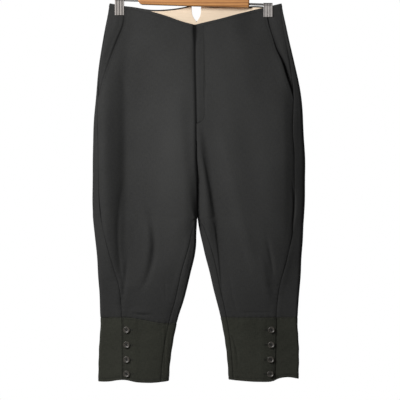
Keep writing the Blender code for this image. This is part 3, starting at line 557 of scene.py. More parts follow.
def gatheredRelief(distance, along):
    # the seam between a leg and its band: shallower, more puckered, and in longer waves
    return seamRelief(distance, along * 0.8, 0.5, 2.4)


# how deep and how wide an edge, a fold or a row of stitches dents the cloth: a negative depth raises it
dents = {
    "edge": (0.0004, 0.0014),
    "facingEdge": (0.0002, 0.002),
    "mouth": (0.0003, 0.0011),
    "mouthRow": (0.00022, 0.0012),
    "waistRow": (0.00030, 0.0014),
    "underFly": (0.0022, 0.0040),
    "crotch": (-0.0002, 0.004),
    "flyEdge": (0.00025, 0.0012),
    "placket": (0.0003, 0.0012),
    "placketRow": (0.00022, 0.0013),
    "hemRow": (0.00035, 0.0014),
}
# how high the cloth ripples along an edge, its wave over 2 pi, how far in that reaches, and how much and over
# what run its phase wanders
ripples = {
    "frontWaist": (0.00016, 0.0019, 0.007, 0.0, 1.0),
    "backWaist": (0.00014, 0.0021, 0.007, 0.0, 1.0),
    "facing": (0.0001, 0.0024, 0.006, 0.0, 1.0),
    "fly": (0.00012, 1.7, 0.006, 0.0, 1.0),
    "hem": (0.00025, 0.0031, 0.010, 1.3, 0.013),
    "placket": (0.00022, 2.6, 0.012, 1.7, 9.0),
}


def dent(kind, distance):
    # minus the depth, times a bell of distance over width
    deep, wide = dents[kind]
    return -deep * bell(distance / wide)


def ripple(kind, along, distance):
    # height times a sine along the edge, times a bell of the distance from it
    high, run, reach, wander, wanderRun = ripples[kind]
    return high * np.sin(along / run + wander * np.sin(along / wanderRun)) * bell(distance / reach)


# height, wave across and wave down over 2 pi, and how far the phase differs from panel to panel
slowWaves = [(0.30, 17, 90, 1.1), (0.34, 55, 31, 2.0), (0.26, 9.5, -47, 3.1), (0.22, -23, 14, 0.5)]


def unevenHang(side, face, near, edge, level):
    # the cloth never hangs quite smooth: slow waves, dying away at the waist and toward the middle
    x, phase = near[edge] / mm, 0.7 * face + 0.4 * sign[side]
    waves = sum(high * np.sin(x / across + level / down + turn * phase)
                for high, across, down, turn in slowWaves) * mm
    return waves * smooth(near["top"] / trunk["calmWaist"]) * smooth(near[edge] / trunk["calmMiddle"])


def meshOf(name, points, faces, grain=None, marks=None):
    # a smooth-shaded mesh in the scene, with grain as its UV map and marks as numbers on its points
    made = bpy.data.meshes.new(name)
    made.from_pydata(points.tolist(), [], faces)
    if grain is not None:
        corners = np.empty(len(made.loops), int)
        made.loops.foreach_get("vertex_index", corners)
        layer = made.uv_layers.new(name="grain")
        layer.uv.foreach_set("vector", grain[corners].astype(np.float32).ravel())
    for mark, values in (marks or {}).items():
        made.attributes.new(mark, "FLOAT", "POINT").data.foreach_set("value", values.astype(np.float32))
    made.shade_smooth()
    piece = bpy.data.objects.new(name, made)
    bpy.context.scene.collection.objects.link(piece)
    return piece


def gridQuads(rows, columns, start=0):
    # the four corners of every cell of a grid
    i = np.arange(rows * columns).reshape(rows, columns) + start
    return np.stack([i[:-1, :-1], i[1:, :-1], i[1:, 1:], i[:-1, 1:]], -1).reshape(-1, 4)


def rimOf(rows, columns):
    # the grid's border, once round
    i = np.arange(rows * columns).reshape(rows, columns)
    return np.concatenate([i[:-1, 0], i[-1, :-1], i[:0:-1, -1], i[0, :0:-1]])


def clothPiece(name, panel, thickness, finish, node, wear=None, paintedShade=None):
    # a closed wall: the outer face, the inner face, and between them a rim that bulges a little all round
    points, normals = panel["points"], panel["normals"]
    rows, columns = points.shape[:2]
    count = rows * columns
    outer = points.reshape(-1, 3)
    thick = np.broadcast_to(thickness, (rows, columns)).reshape(-1, 1)
    inner = outer - normals.reshape(-1, 3) * thick
    rim = rimOf(rows, columns)
    sidewaysOut = np.zeros_like(points)
    sidewaysOut[:, 0] += points[:, 0] - points[:, 1]
    sidewaysOut[:, -1] += points[:, -1] - points[:, -2]
    sidewaysOut[0] += points[0] - points[1]
    sidewaysOut[-1] += points[-1] - points[-2]
    out = sidewaysOut.reshape(-1, 3)[rim]
    out = out / np.linalg.norm(out, axis=-1, keepdims=True)
    ring = (outer[rim] + inner[rim]) / 2 + out * garment["edgeRound"]
    ringIndex = np.arange(len(rim)) + 2 * count
    onward, ringOnward = np.roll(rim, -1), np.roll(ringIndex, -1)
    quads = np.concatenate([
        gridQuads(rows, columns),
        gridQuads(rows, columns, count)[:, ::-1],
        np.stack([onward, rim, ringIndex, ringOnward], -1),
        np.stack([ringOnward, ringIndex, rim + count, onward + count], -1),
    ])
    if panel["turn"] < 0:
        quads = quads[:, ::-1]
    grain = panel["grain"].reshape(-1, 2)
    marks = {}
    for mark, values in (("wear", wear), ("paintedShade", paintedShade)):
        flat = np.zeros(count) if values is None else values.reshape(-1)
        marks[mark] = np.concatenate([flat, flat, flat[rim]])
    piece = meshOf(name, np.concatenate([outer, inner, ring]), quads.tolist(),
                   np.concatenate([grain, grain, grain[rim]]), marks)
    finishPiece(piece, finish, finish, node)
    return piece


def finishPiece(piece, finish, slotName, *nodes):
    # gives a piece its material and hides the solids that it stands in for; slotName is not used
    piece.data.materials.append(finishes[finish])
    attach(piece, "root")
    if nodes:
        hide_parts(*nodes)


class Socket:
    # a node's output whose operators add Math nodes
    def __init__(self, tree, link):
        self.tree, self.link = tree, link

    def maths(self, operation, *values):
        # a Math node on numbers or other sockets
        return self.tree.node("ShaderNodeMath", {"operation": operation}, dict(enumerate(values)))

    def __add__(self, other):
        return self.maths("ADD", self, other)

    def __radd__(self, other):
        return self.maths("ADD", other, self)

    def __sub__(self, other):
        return self.maths("SUBTRACT", self, other)

    def __rsub__(self, other):
        return self.maths("SUBTRACT", other, self)

    def __mul__(self, other):
        return self.maths("MULTIPLY", self, other)

    def __rmul__(self, other):
        return self.maths("MULTIPLY", other, self)

    def __pow__(self, other):
        return self.maths("POWER", self, other)

    def sine(self):
        return self.maths("SINE", self)

    def larger(self, other):
        return self.maths("MAXIMUM", self, other)


class Finish:
    # one material and its node tree
    def __init__(self, name, constants):
        self.material = bpy.data.materials.new(name)
        self.material.use_nodes = True
        self.nodes = self.material.node_tree.nodes
        self.links = self.material.node_tree.links
        self.shader = self.nodes["Principled BSDF"]
        for socket, value in constants.items():
            self.shader.inputs[socket].default_value = value

    def node(self, kind, settings, values, output=0):
        # a new node: settings are its properties, values its inputs, numbers or sockets
        made = self.nodes.new(kind)
        for setting, value in settings.items():
            if setting == "stops":
                for i, (place, colour) in enumerate(value):
                    stop = made.color_ramp.elements[i] if i < 2 else made.color_ramp.elements.new(place)
                    stop.position, stop.color = place, (*colour, 1.0)
            else:
                setattr(made, setting, value)
        for socket, value in values.items():
            self.put(made.inputs[socket], value)
        return Socket(self, made.outputs[output])

    def put(self, socket, value):
        if isinstance(value, Socket):
            self.links.new(value.link, socket)
        else:
            socket.default_value = value

    def to(self, name, value):
        self.put(self.shader.inputs[name], value)

    def objectPlace(self):
        # Object coordinates
        return self.node("ShaderNodeTexCoord", {}, {}, "Object")

    def grain(self):
        # the piece's own UV map: metres along and down the cloth
        return self.node("ShaderNodeUVMap", {"uv_map": "grain"}, {})

    def mark(self, name):
        # a number that the mesh carries on its points
        return self.node("ShaderNodeAttribute", {"attribute_name": name}, {}, "Fac")

    def stretched(self, place, scale):
        return self.node("ShaderNodeMapping", {}, {"Vector": place, "Scale": scale})

    def parts(self, place):
        # x, y and z of a vector
        split = self.node("ShaderNodeSeparateXYZ", {}, {"Vector": place})
        outputs = split.link.node.outputs
        return [Socket(self, outputs[i]) for i in range(3)]

    def noise(self, place, scale, detail=2.0, roughness=0.5):
        values = {"Vector": place, "Scale": scale, "Detail": detail, "Roughness": roughness}
        return self.node("ShaderNodeTexNoise", {}, values)

    def mix(self, factor, first, second):
        # sockets 6 and 7 are the Mix node's two colours, output 2 its result
        values = {"Factor": factor, 6: first, 7: second}
        return self.node("ShaderNodeMix", {"data_type": "RGBA"}, values, 2)

    def ramp(self, factor, stops):
        # a colour ramp through pairs of place and colour
        return self.node("ShaderNodeValToRGB", {"stops": stops}, {"Fac": factor})

    def bump(self, height, distance):
        values = {"Height": height, "Distance": distance, "Strength": 1.0}
        self.to("Normal", self.node("ShaderNodeBump", {}, values))


def opaque(colour, share=1.0):
    # a colour times a share, with full alpha
    return *(share * part for part in colour), 1.0


def clothFinish(name, look):
    # Twill on the piece's own grain: a diagonal rib, two crossing yarns, slubs, and slow changes of shade.
    f = Finish(name, {"Sheen Weight": look["sheen"], "Sheen Roughness": 0.45,
                      "Sheen Tint": opaque(look["sheenTint"]), "Specular IOR Level": look["specular"]})
    grain = f.grain()
    u, v, _ = f.parts(grain)
    yarn = 2 * np.pi / look["yarn"]
    wander = f.noise(grain, 260.0) * 2.4
    rib = ((u * look["slope"] + v) * yarn + wander).sine() * 0.5 + 0.5
    warp = (u * yarn * 2.0 + wander).sine() * 0.5 + 0.5
    slub = f.noise(f.stretched(grain, (520.0, 130.0, 1.0)), 1.0, 3.0)
    cross = f.noise(f.stretched(grain, (110.0, 640.0, 1.0)), 1.0, 3.0)
    fleck = f.noise(grain, 900.0, 2.0, 0.6)
    broad = f.noise(grain, 9.0, 3.0)
    # each noise is about 0.5, so this takes the mean of the shade back to 0.5
    level = 0.5 - 0.5 * (look["mottle"] + look["drift"]) - 0.05
    shade = (slub * 0.36 + cross * 0.34 + fleck * 0.30) * look["mottle"] + broad * look["drift"] \
        + rib * 0.10 + level
    colour = f.ramp(shade, [(0.22, look["dark"]), (0.78, look["light"])])
    # edge wear and painted light in pale patches, both mixed toward one pale colour
    worn = f.mark("wear") * (0.55 + slub * 0.5)
    colour = f.mix(worn * look["wear"], colour, opaque(look["worn"]))
    # painted shade: the base colour darkened at seams, gaps, the pocket's mouth and under the fly
    colour = f.mix(f.mark("paintedShade"), colour, opaque(look["dark"], 0.2))
    f.to("Base Color", colour)
    f.to("Roughness", look["roughness"] + 0.08 * fleck - 0.04)
    f.bump(rib * 0.55 + warp * 0.2 + slub * 0.5 + cross * 0.4 + fleck * 0.35, look["bump"])
    return f.material


cloth = {
    "dark": (0.0165, 0.0165, 0.0162), "light": (0.0370, 0.0370, 0.0363), "worn": (0.057, 0.057, 0.0555),
    "roughness": 0.9, "specular": 0.12, "sheen": 0.03, "sheenTint": (0.75, 0.78, 0.80),
    "yarn": 0.0011,      # from one rib of the twill to the next
    "slope": 1.35,       # how steeply the ribs run
    "mottle": 1.0,       # how much the yarns differ in shade
    "drift": 0.25,       # how much the shade changes slowly
    "wear": 0.5,
    "bump": 0.00016,
}
cuffCloth = cloth | {
    "dark": (0.0175, 0.0182, 0.0140), "light": (0.0430, 0.0440, 0.0345), "worn": (0.058, 0.058, 0.048),
    "sheenTint": (0.75, 0.78, 0.72), "mottle": 1.2, "drift": 0.4, "bump": 0.00018,
}


def facingFinish():
    # pale ribbed tape: ribs across the piece with the gaps darker, a thin warp, and a few darker streaks
    look = {"rib": 0.0022, "warp": 0.0008, "dark": (0.62, 0.495, 0.355), "light": (0.89, 0.725, 0.555)}
    f = Finish("facing", {"Roughness": 0.8, "Sheen Weight": 0.1, "Specular IOR Level": 0.3})
    grain = f.grain()
    u, v, _ = f.parts(grain)
    wander = f.noise(f.stretched(grain, (30.0, 200.0, 1.0)), 1.0) * 1.6
    rib = (v * (2 * np.pi / look["rib"]) + wander).sine() * 0.5 + 0.5
    warp = (u * (2 * np.pi / look["warp"])).sine() * 0.5 + 0.5
    streak = f.noise(f.stretched(grain, (24.0, 900.0, 1.0)), 1.0, 3.0)
    shade = rib * 0.35 + streak * 0.75 + 0.02
    f.to("Base Color", f.ramp(shade, [(0.2, look["dark"]), (0.85, look["light"])]))
    f.bump(rib * 0.8 + warp * 0.2 + streak * 0.3, 0.0004)
    return f.material


def threadFinish(name, colour):
    # matt thread, shaded and bumped by one fine noise that stands for its ply
    f = Finish(name, {"Roughness": 0.75, "Specular IOR Level": 0.2})
    place = f.objectPlace()
    ply = f.noise(place, 2600.0, 1.0)
    f.to("Base Color", f.mix(ply, opaque(colour, 0.7), opaque(colour, 1.3)))
    f.bump(ply, 0.0001)
    return f.material


def buttonFinish():
    # dark horn: soft streaks across the disc, painted shade in the holes and the sunk middle, and a painted
    # highlight on the rim
    look = {"dark": (0.022, 0.020, 0.016), "light": (0.075, 0.066, 0.055), "rim": (0.42, 0.39, 0.35),
            "hole": (0.004, 0.004, 0.004)}
    f = Finish("button", {"Specular IOR Level": 0.4, "Coat Roughness": 0.25})
    place = f.objectPlace()
    swirl = f.noise(f.stretched(place, (160.0, 160.0, 420.0)), 1.0, 4.0)
    colour = f.ramp(swirl, [(0.30, look["dark"]), (0.72, look["light"])])
    # painted highlight as a pale ring on the rim, painted shade in the holes and the middle
    colour = f.mix(f.mark("rim"), colour, opaque(look["rim"]))
    f.to("Base Color", f.mix(f.mark("hole"), colour, opaque(look["hole"])))
    f.to("Roughness", 0.30 + 0.25 * swirl)
    f.to("Coat Weight", 0.3 - 0.3 * f.mark("hole"))
    f.bump(f.noise(place, 1500.0, 2.0), 0.00004)
    return f.material


def woodFinish():
    # varnished wood: rings stretched along the bar, fine pores, and a clear coat
    look = {"dark": (0.27, 0.102, 0.025), "light": (0.54, 0.250, 0.078), "pore": (0.16, 0.055, 0.016)}
    f = Finish("wood", {"Coat Roughness": 0.2, "Specular IOR Level": 0.35})
    place = f.objectPlace()
    long = f.stretched(place, (5.0, 90.0, 90.0))
    bend = f.noise(long, 0.6, 3.0)
    _, y, z = f.parts(place)
    ring = ((z * 900.0 + y * 700.0) + bend * 9.0).sine() * 0.5 + 0.5
    pore = f.noise(f.stretched(place, (60.0, 2400.0, 2400.0)), 1.0, 2.0)
    colour = f.ramp(ring * 0.55 + bend * 0.45, [(0.15, look["dark"]), (0.85, look["light"])])
    f.to("Base Color", f.mix((0.55 - pore).larger(0.0) * 1.6, colour, opaque(look["pore"])))
    f.to("Roughness", 0.40 + 0.2 * pore)
    f.to("Coat Weight", 0.22 + 0.06 * pore)
    f.bump(pore * 0.4 + ring * 0.2, 0.0002)
    return f.material


def metalFinish(name, colour, roughness, rib=None):
    # plated steel: fine brushing, duller patches, and upright ribs where rib gives their spacing, with
    # painted shade in their grooves
    f = Finish(name, {"Metallic": 1.0})
    place = f.objectPlace()
    brushed = f.noise(f.stretched(place, (2600.0, 2600.0, 90.0)), 1.0, 2.0)
    patch = f.noise(place, 120.0, 4.0)
    shade = f.mix(patch, opaque(colour, 0.72), opaque(colour))
    height = brushed * 0.03 + patch * 0.05
    if rib:
        x, _, _ = f.parts(place)
        groove = (0.5 - (x * (2 * np.pi / rib) + patch * 0.8).sine() * 0.5) ** 2.0
        # painted shade darkens the grooves between the ribs
        shade = f.mix(groove * 0.55, shade, opaque(colour, 0.22))
        height = height - groove * 0.3
    f.to("Base Color", shade)
    f.to("Roughness", roughness + 0.18 * patch + 0.1 * brushed - 0.12)
    f.bump(height, 0.0006)
    return f.material


finishes = {
    "cloth": clothFinish("cloth", cloth),
    "cuff": clothFinish("cuff", cuffCloth),
    "facing": facingFinish(),
    "thread": threadFinish("thread", (0.021, 0.021, 0.0195)),
    "button": buttonFinish(),
    "wood": woodFinish(),
    "metal": metalFinish("metal", (0.36, 0.35, 0.34), 0.45),
    # the clip finish and a paler copy of it, painted light for the left clip
    "clip": metalFinish("clip", (0.20, 0.184, 0.173), 0.46, 0.0058),
    "litClip": metalFinish("litClip", (0.55, 0.515, 0.495), 0.46, 0.0058),
}
print("finishes made")


sewing = {
    "pitch": 0.0026,     # from one stitch to the next
    "length": 0.0021,
    "thread": 0.00030,   # radius of the thread
    "sink": 0.00008,     # how far it beds into the cloth
}


def runAt(panel, edge, distance):
    # the line on a panel at a distance from one of its edges, with its normals
    near, points, normals = panel["near"][edge], panel["points"], panel["normals"]
    if edge in ("top", "bottom"):
        near, points, normals = near.T, points.transpose(1, 0, 2), normals.transpose(1, 0, 2)
    if edge in ("last", "bottom"):
        near, points, normals = near[:, ::-1], points[:, ::-1], normals[:, ::-1]
    line = np.arange(len(near))
    after = np.clip((near < distance).sum(axis=1), 1, near.shape[1] - 1)
    low, high = near[line, after - 1], near[line, after]
    t = np.clip((distance - low) / np.maximum(high - low, 1e-9), 0.0, 1.0)[:, None]
    return (points[line, after - 1] * (1 - t) + points[line, after] * t,
            normals[line, after - 1] * (1 - t) + normals[line, after] * t)


def stitchTemplate():
    # a lozenge of thread: a pole, rings of six, a pole
    along = np.array([-0.42, 0.0, 0.42])
    girth = np.array([0.8, 1.0, 0.8])
    angle = np.arange(6) * np.pi / 3
    rings = np.stack([np.repeat(along, 6), np.outer(girth, np.cos(angle)).ravel(),
                      np.outer(girth, np.sin(angle)).ravel()], -1)
    places = np.concatenate([[(-0.5, 0, 0)], rings, [(0.5, 0, 0)]])
    i, j = np.arange(6), (np.arange(6) + 1) % 6
    quads = np.concatenate([np.stack([1 + k * 6 + i, 1 + k * 6 + j, 7 + k * 6 + j, 7 + k * 6 + i], -1)
                            for k in range(2)])
    caps = np.concatenate([np.stack([0 * i, 1 + j, 1 + i], -1), np.stack([0 * i + 19, 13 + i, 13 + j], -1)])
    return places, quads, caps


def readAlong(line, length, at):
    # the points or normals of a line at given lengths along it
    return np.stack([np.interp(at, length, line[:, k]) for k in range(3)], -1)


def stitchRows(name, runs, slotName, settings=sewing):
    # stitches of one length at one pitch along each run, lying flat on the cloth
    places, quads, caps = stitchTemplate()
    points, faces, total = [], [], 0
    for line, normals in runs:
        length = np.concatenate([[0.0], np.cumsum(np.linalg.norm(np.diff(line, axis=0), axis=1))])
        count = max(int(length[-1] / settings["pitch"]), 1)
        middleAt = (np.arange(count) + 0.5) * length[-1] / count
        half = settings["length"] / 2
        start, end = readAlong(line, length, middleAt - half), readAlong(line, length, middleAt + half)
        normal = readAlong(normals, length, middleAt)
        normal /= np.linalg.norm(normal, axis=1, keepdims=True)
        run = end - start
        tangent = run / np.maximum(np.linalg.norm(run, axis=1, keepdims=True), 1e-9)
        aside = np.cross(normal, tangent)
        centre = (start + end) / 2 + normal * (settings["thread"] - settings["sink"])
        points.append((centre[:, None] + places[None, :, :1] * run[:, None]
                       + places[None, :, 1:2] * aside[:, None] * settings["thread"] * 1.25
                       + places[None, :, 2:] * normal[:, None] * settings["thread"]).reshape(-1, 3))
        shift = (np.arange(count) * len(places) + total)[:, None, None]
        faces += (quads[None] + shift).reshape(-1, 4).tolist() + (caps[None] + shift).reshape(-1, 3).tolist()
        total += count * len(places)
    finishPiece(meshOf(name, np.concatenate(points), faces), "thread", slotName)


trunk = {
    "columns": {"front": 84, "back": 124},
    "rows": 232,
    # how the pocket's edge stands off the hip, and how much of its painted shade is left away from there
    "gape": {"right": {"lift": 0.0014, "level": 75.0, "reach": 50.0, "shade": 0.35},
             "left": {"lift": 0.0034, "level": 150.0, "reach": 52.0, "shade": 0.0}},
    "mouthEnd": 205.0,       # the level where the pocket's row of stitches ends
    "mouthStitch": 0.0055,   # from the pocket's edge to its row of stitches
    "waistStitch": 0.006,    # from the waist edge to its row
    "calmWaist": 0.03,       # how near the waist and the middle the slow waves die away
    "calmMiddle": 0.014,
    "mouthLift": 0.016,      # how far in from the pocket's edge the front stands off
    "crotchTop": (330.0, 400.0),     # the spans of levels where the seams of the crotch start and end,
    "crotchFoot": (480.0, 540.0),
    "seamFull": (268.0, 278.0),      # where the centre seam takes over from the fly,
    "grooveEnd": (330.0, 420.0),     # and where the groove and the painted shade beside the fly end
    "darkEnd": (430.0, 490.0),
    "turn": 0.0009,          # how far the painted shade of a seam reaches onto the cloth
    "mouthShadeReach": 0.0026,     # and that of the pocket's edge
    # how dark each painted shade is
    "dark": {"inner": 0.6, "outer": 0.3, "bottom": 0.15, "mouth": 0.9, "back": 0.35},
    # how far the painted shade reaches out from under the fly: the least, and how much more at a level
    "underFly": {"least": 0.0022, "more": 0.0035, "level": 60.0, "reach": 22.0},
}


def darkReach(levels, settings):
    # the least reach, plus a bell of levels times what it adds
    return settings["least"] + settings["more"] * bell((levels - settings["level"]) / settings["reach"])


def gapeAt(side, levels):
    # how open the pocket's mouth is: a bell of levels
    return bell((levels - trunk["gape"][side]["level"]) / trunk["gape"][side]["reach"])


def mouthShade(side, levels):
    # how strong the painted shade of the pocket's mouth is: from a faint share up to 1 where it gapes
    faint = trunk["gape"][side]["shade"]
    return faint + (1 - faint) * gapeAt(side, levels)


def crotchShare(level):
    # 1 where the four panels meet, dying away above and below
    return downPast(level, trunk["crotchTop"]) * (1 - downPast(level, trunk["crotchFoot"]))


def frontRelief(side):
    # the sum of the pocket's mouth, the seams, the groove under the fly, the edges and the slow waves
    def relief(near, level):
        below = smooth((level - garment["pocketEnd"]) / 6.0)
        lift = trunk["gape"][side]["lift"] * gapeAt(side, level) * bell(near["last"] / trunk["mouthLift"])
        mouth = lift + dent("mouth", near["last"]) + dent("mouthRow", near["last"] - trunk["mouthStitch"])
        seam = seamRelief(near["last"], level * mm) * below
        atCrotch = crotchShare(level)
        strength = (0.4 + 0.6 * downPast(level, trunk["seamFull"])) * (1 - atCrotch)
        inner = seamRelief(near["first"], level * mm + 0.3, strength)
        crotch = dent("crotch", near["first"]) * atCrotch
        underFly = (side == "right") * (1 - downPast(level, trunk["grooveEnd"]))
        groove = dent("underFly", near["first"]) * underFly
        waistEdge = (dent("edge", near["top"]) + dent("waistRow", near["top"] - trunk["waistStitch"])
                     + ripple("frontWaist", near["first"], near["top"]))
        cuffEdge = gatheredRelief(near["bottom"], near["first"])
        hang = unevenHang(side, -1.0, near, "first", level)
        return mouth * (1 - below) + seam + inner + crotch + groove + waistEdge + cuffEdge + hang

    return relief


def backRelief(side):
    # the sum of the seams, the edges and the slow waves
    def relief(near, level):
        seam = seamRelief(near["first"], level * mm + 0.1)
        atCrotch = crotchShare(level)
        inner = seamRelief(near["last"], level * mm + 0.5, 1 - atCrotch)
        crotch = dent("crotch", near["last"]) * atCrotch
        waistEdge = dent("edge", near["top"]) + ripple("backWaist", near["last"], near["top"])
        cuffEdge = gatheredRelief(near["bottom"], near["first"] + 0.25)
        return seam + inner + crotch + waistEdge + cuffEdge + unevenHang(side, 1.0, near, "last", level)

    return relief


def wearOf(near, edges, reach=0.0016):
    # 1 at the named edges, dying away over reach
    return np.clip(sum(np.exp(-near[edge] / reach) for edge in edges), 0.0, 1.0)


# painted light: pale patches on the front, standing in for the light on its middle: x is how far from the
# middle, level how far down
litPatches = named("side x wide level high most", [
    ("right", 0.045, 0.062, 330.0, 210.0, 0.95),
    ("right", 0.028, 0.045, 570.0, 110.0, 0.55),
    ("left", 0.065, 0.075, 230.0, 190.0, 0.85),
    ("left", 0.145, 0.060, 520.0, 190.0, 0.45),
])


def litPatchOf(side, panel, levels):
    # the sum of the painted light patches, each a bell across times a bell down, on the front face only
    fromMiddle = np.abs(panel["points"][..., 0] - garment["middleX"])
    onFront = smooth(0.5 - panel["points"][..., 1] / 0.006)
    share = sum(place["most"] * bell((fromMiddle - place["x"]) / place["wide"])
                * bell((levels - place["level"]) / place["high"])
                for place in litPatches if place["side"] == side)
    return np.clip(share * onFront, 0.0, 1.0)


def paintedShadeAt(near, edges, reach=trunk["turn"]):
    # painted shade: 1 at the named edges, where cloth turns into a seam, dying away as a bell
    return np.clip(sum(bell(near[edge] / reach) for edge in edges), 0.0, 1.0)


def makeFront(side):
    # from the inseam or centre to the pocket's edge and side seam, and from the waist to the band
    loops, levels = panelGrid(
        lambda level: trimmed(side, inseamAt(side, level), level, 1.0 * (level >= garment["crotch"])),
        seamEdge(side, pocketAt, -1.0),
        lambda loop: waistLevel(side, loop, "Front"),
        lambda loop: cuffSeamLevel(side, loop) - halfGap,
        trunk["columns"]["front"], trunk["rows"])
    panel = panelOf(side, loops, levels, 0.0, frontRelief(side))
    near = panel["near"]
    # painted shade along the seams, in the pocket's mouth and under the fly's edge, darkening the colour
    mouth = (1 - smooth((levels - trunk["mouthEnd"]) / 12.0)) * mouthShade(side, levels)
    closure = (side == "right") * (1 - downPast(levels, trunk["darkEnd"]))
    underFlyShade = bell(near["first"] / darkReach(levels, trunk["underFly"])) * closure
    dark = trunk["dark"]
    turned = (paintedShadeAt(near, ["first"]) * dark["inner"] + paintedShadeAt(near, ["last"]) * dark["outer"]
              + paintedShadeAt(near, ["bottom"]) * dark["bottom"])
    atMouth = paintedShadeAt(near, ["last"], trunk["mouthShadeReach"]) * dark["mouth"] * mouth
    paintedShade = np.clip(turned + atMouth + underFlyShade, 0.0, 1.0)
    wear = np.maximum(wearOf(near, ["top"]), litPatchOf(side, panel, levels))
    piece = clothPiece("cloth_front_" + side, panel, garment["cloth"], "cloth", "front_" + side, wear, paintedShade)
    return piece, panel, levels


def makeBack(side):
    # from the side seam round the outer edge to the centre back or the inseam
    loops, levels = panelGrid(
        seamEdge(side, sideSeamAt, 1.0),
        lambda level: backEndAt(side, level),
        lambda loop: waistLevel(side, loop, "Back"),
        lambda loop: cuffSeamLevel(side, loop) - halfGap,
        trunk["columns"]["back"], trunk["rows"])
    panel = panelOf(side, loops, levels, 0.0, backRelief(side))
    wear = np.maximum(wearOf(panel["near"], ["top"]), litPatchOf(side, panel, levels))
    # painted shade along both seams
    paintedShade = paintedShadeAt(panel["near"], ["first", "last"]) * trunk["dark"]["back"]
    piece = clothPiece("cloth_back_" + side, panel, garment["cloth"], "cloth", "back_" + side, wear, paintedShade)
    return piece, panel


pocket = {
    "columns": 34, "rows": 76,
    "underlap": 0.012,       # how far the hip piece runs in under the front's edge
    "bottom": 209.0,
    "under": 0.0010,         # how far it lies below the front's inner face
    "lip": 0.0035,           # from the front's edge to where it starts to rise
    "ramp": 0.014,           # the longest way that it takes to rise
    "level": (150.0, 190.0),         # the span of levels where it stops rising
    "seamStart": (20.0, 40.0),       # and where its side seam starts
    "shade": {"right": 0.003, "left": 0.006},   # how far the mouth's painted shade reaches onto it
}


def makePocket(side):
    # the hip piece lies under the front's slant edge and rises to meet the back at the side seam
    def first(level):
        width = curveOf(pocketSlant, side, level) * mm - pocket["underlap"]
        return loopAt(side, curveOf(outline, side, level) * mm - width, level, "outer")

    loops, levels = panelGrid(
        first,
        seamEdge(side, sideSeamAt, -1.0),
        lambda loop: waistLevel(side, loop, "Front"),
        lambda loop: 0.0 * loop + pocket["bottom"],
        pocket["columns"], pocket["rows"], 0.3)
    x, _ = loopPoint(side, loops, levels)
    slant = curveOf(pocketSlant, side, levels) * mm
    past = np.abs(x - garment["middleX"]) - slant
    toSeam = (curveOf(outline, side, levels) - curveOf(sideSeam, side, levels)) * mm
    room = np.clip(toSeam - slant - pocket["lip"], mm, pocket["ramp"])
    under = garment["cloth"] + pocket["under"]
    closing = 1 - downPast(levels, pocket["level"])
    inset = under * (1 - smooth((past - pocket["lip"]) / room) * closing)

    def relief(near, level):
        return seamRelief(near["last"], level * mm + 0.1) * downPast(level, pocket["seamStart"])

    panel = panelOf(side, loops, levels, inset, relief)
    # painted shade of the pocket's mouth on the hip piece
    shade = bell(np.maximum(past, 0.0) / pocket["shade"][side]) * mouthShade(side, levels)
    return clothPiece("cloth_pocket_" + side, panel, garment["facingCloth"], "cloth", "pocket_" + side,
                      wearOf(panel["near"], ["top"]), shade)


facing = {
    "columns": 70, "rows": 26,
    "below": 3.5,            # from the waist edge to the facing's
    "bottom": 65.0,
    "endShare": 0.96,        # how far out it runs
}


def makeFacing(side):
    # inside the back waist, a little below its edge, so that the cloth's own edge shows above it
    endLoop = 2.0 - np.arccos(1 - 2 * facing["endShare"]) / np.pi
    loops, levels = panelGrid(
        lambda level: np.full(np.shape(level), endLoop),
        lambda level: backEndAt(side, level),
        lambda loop: waistLevel(side, loop, "Back") + facing["below"],
        lambda loop: 0.0 * loop + facing["bottom"],
        facing["columns"], facing["rows"], 0.3)

    def relief(near, level):
        return dent("facingEdge", near["top"]) + ripple("facing", near["last"], near["top"])

    panel = panelOf(side, loops, levels, garment["cloth"] + garment["seamGap"], relief)
    return clothPiece("waist_lining_" + side, panel, garment["facingCloth"], "facing", "waist_facing_" + side)


fly = {
    "columns": 20, "rows": 120,
    "first": 0.0006,         # from the middle to the lap's first column
    "width": 0.020,
    "overlap": 0.0015,       # how far the edge laps over the right front
    "lift": 0.0006,          # how far the edge stands off there
    "endRound": 24.0,        # the height of the curve at the foot
    "proud": 0.0010,         # how far the lap stands off the left front
    "sinkFrom": 0.25,        # the share of its width where it starts to sink, and over how much it does
    "sinkOver": 0.7,
    "leastProud": 0.00035,   # how far it still stands off at the curve
    "cloth": 0.0008,
    "stitchIn": 0.0022,      # from the curved edge to its row of stitches
    # how far the painted shade reaches from the lap's edge: the least, and how much more at a level
    "dark": {"least": 0.0009, "more": 0.0032, "level": 62.0, "reach": 24.0},
}


def makeFly():
    # the lap of the fly: it sinks to lie on the front at the stitched curve
    top = waistLevel("left", np.zeros(1), "Front")[0]
    down = easedSteps(fly["rows"], 0.3)[:, None]
    across = easedSteps(fly["columns"], 0.4)[None, :]
    levels = top + (garment["flyEnd"] - top) * down + 0.0 * across
    past = np.clip((levels - (garment["flyEnd"] - fly["endRound"])) / fly["endRound"], 0.0, 1.0)
    width = fly["width"] * np.sqrt(np.maximum(1.0 - past ** 2, 0.03))
    loops = loopAt("left", fly["first"] + (width - fly["first"]) * across, levels, "inner")
    proud = garment["seamGap"] + fly["proud"]
    sink = smooth((across - fly["sinkFrom"]) / fly["sinkOver"]) * (proud - fly["leastProud"])

    def relief(near, level):
        return dent("flyEdge", near["first"]) + ripple("fly", level, near["last"]) - sink

    panel = panelOf("left", loops, levels, -proud, relief)
    panel["points"][:, 0] -= (fly["overlap"], fly["lift"], 0.0)
    # painted shade along the fly's edge
    shade = bell(panel["near"]["first"] / darkReach(levels, fly["dark"]))
    wear = np.maximum(wearOf(panel["near"], ["top"]), litPatchOf("left", panel, levels))
    piece = clothPiece("cloth_fly", panel, fly["cloth"], "cloth", "fly", wear, shade)
    return piece, panel


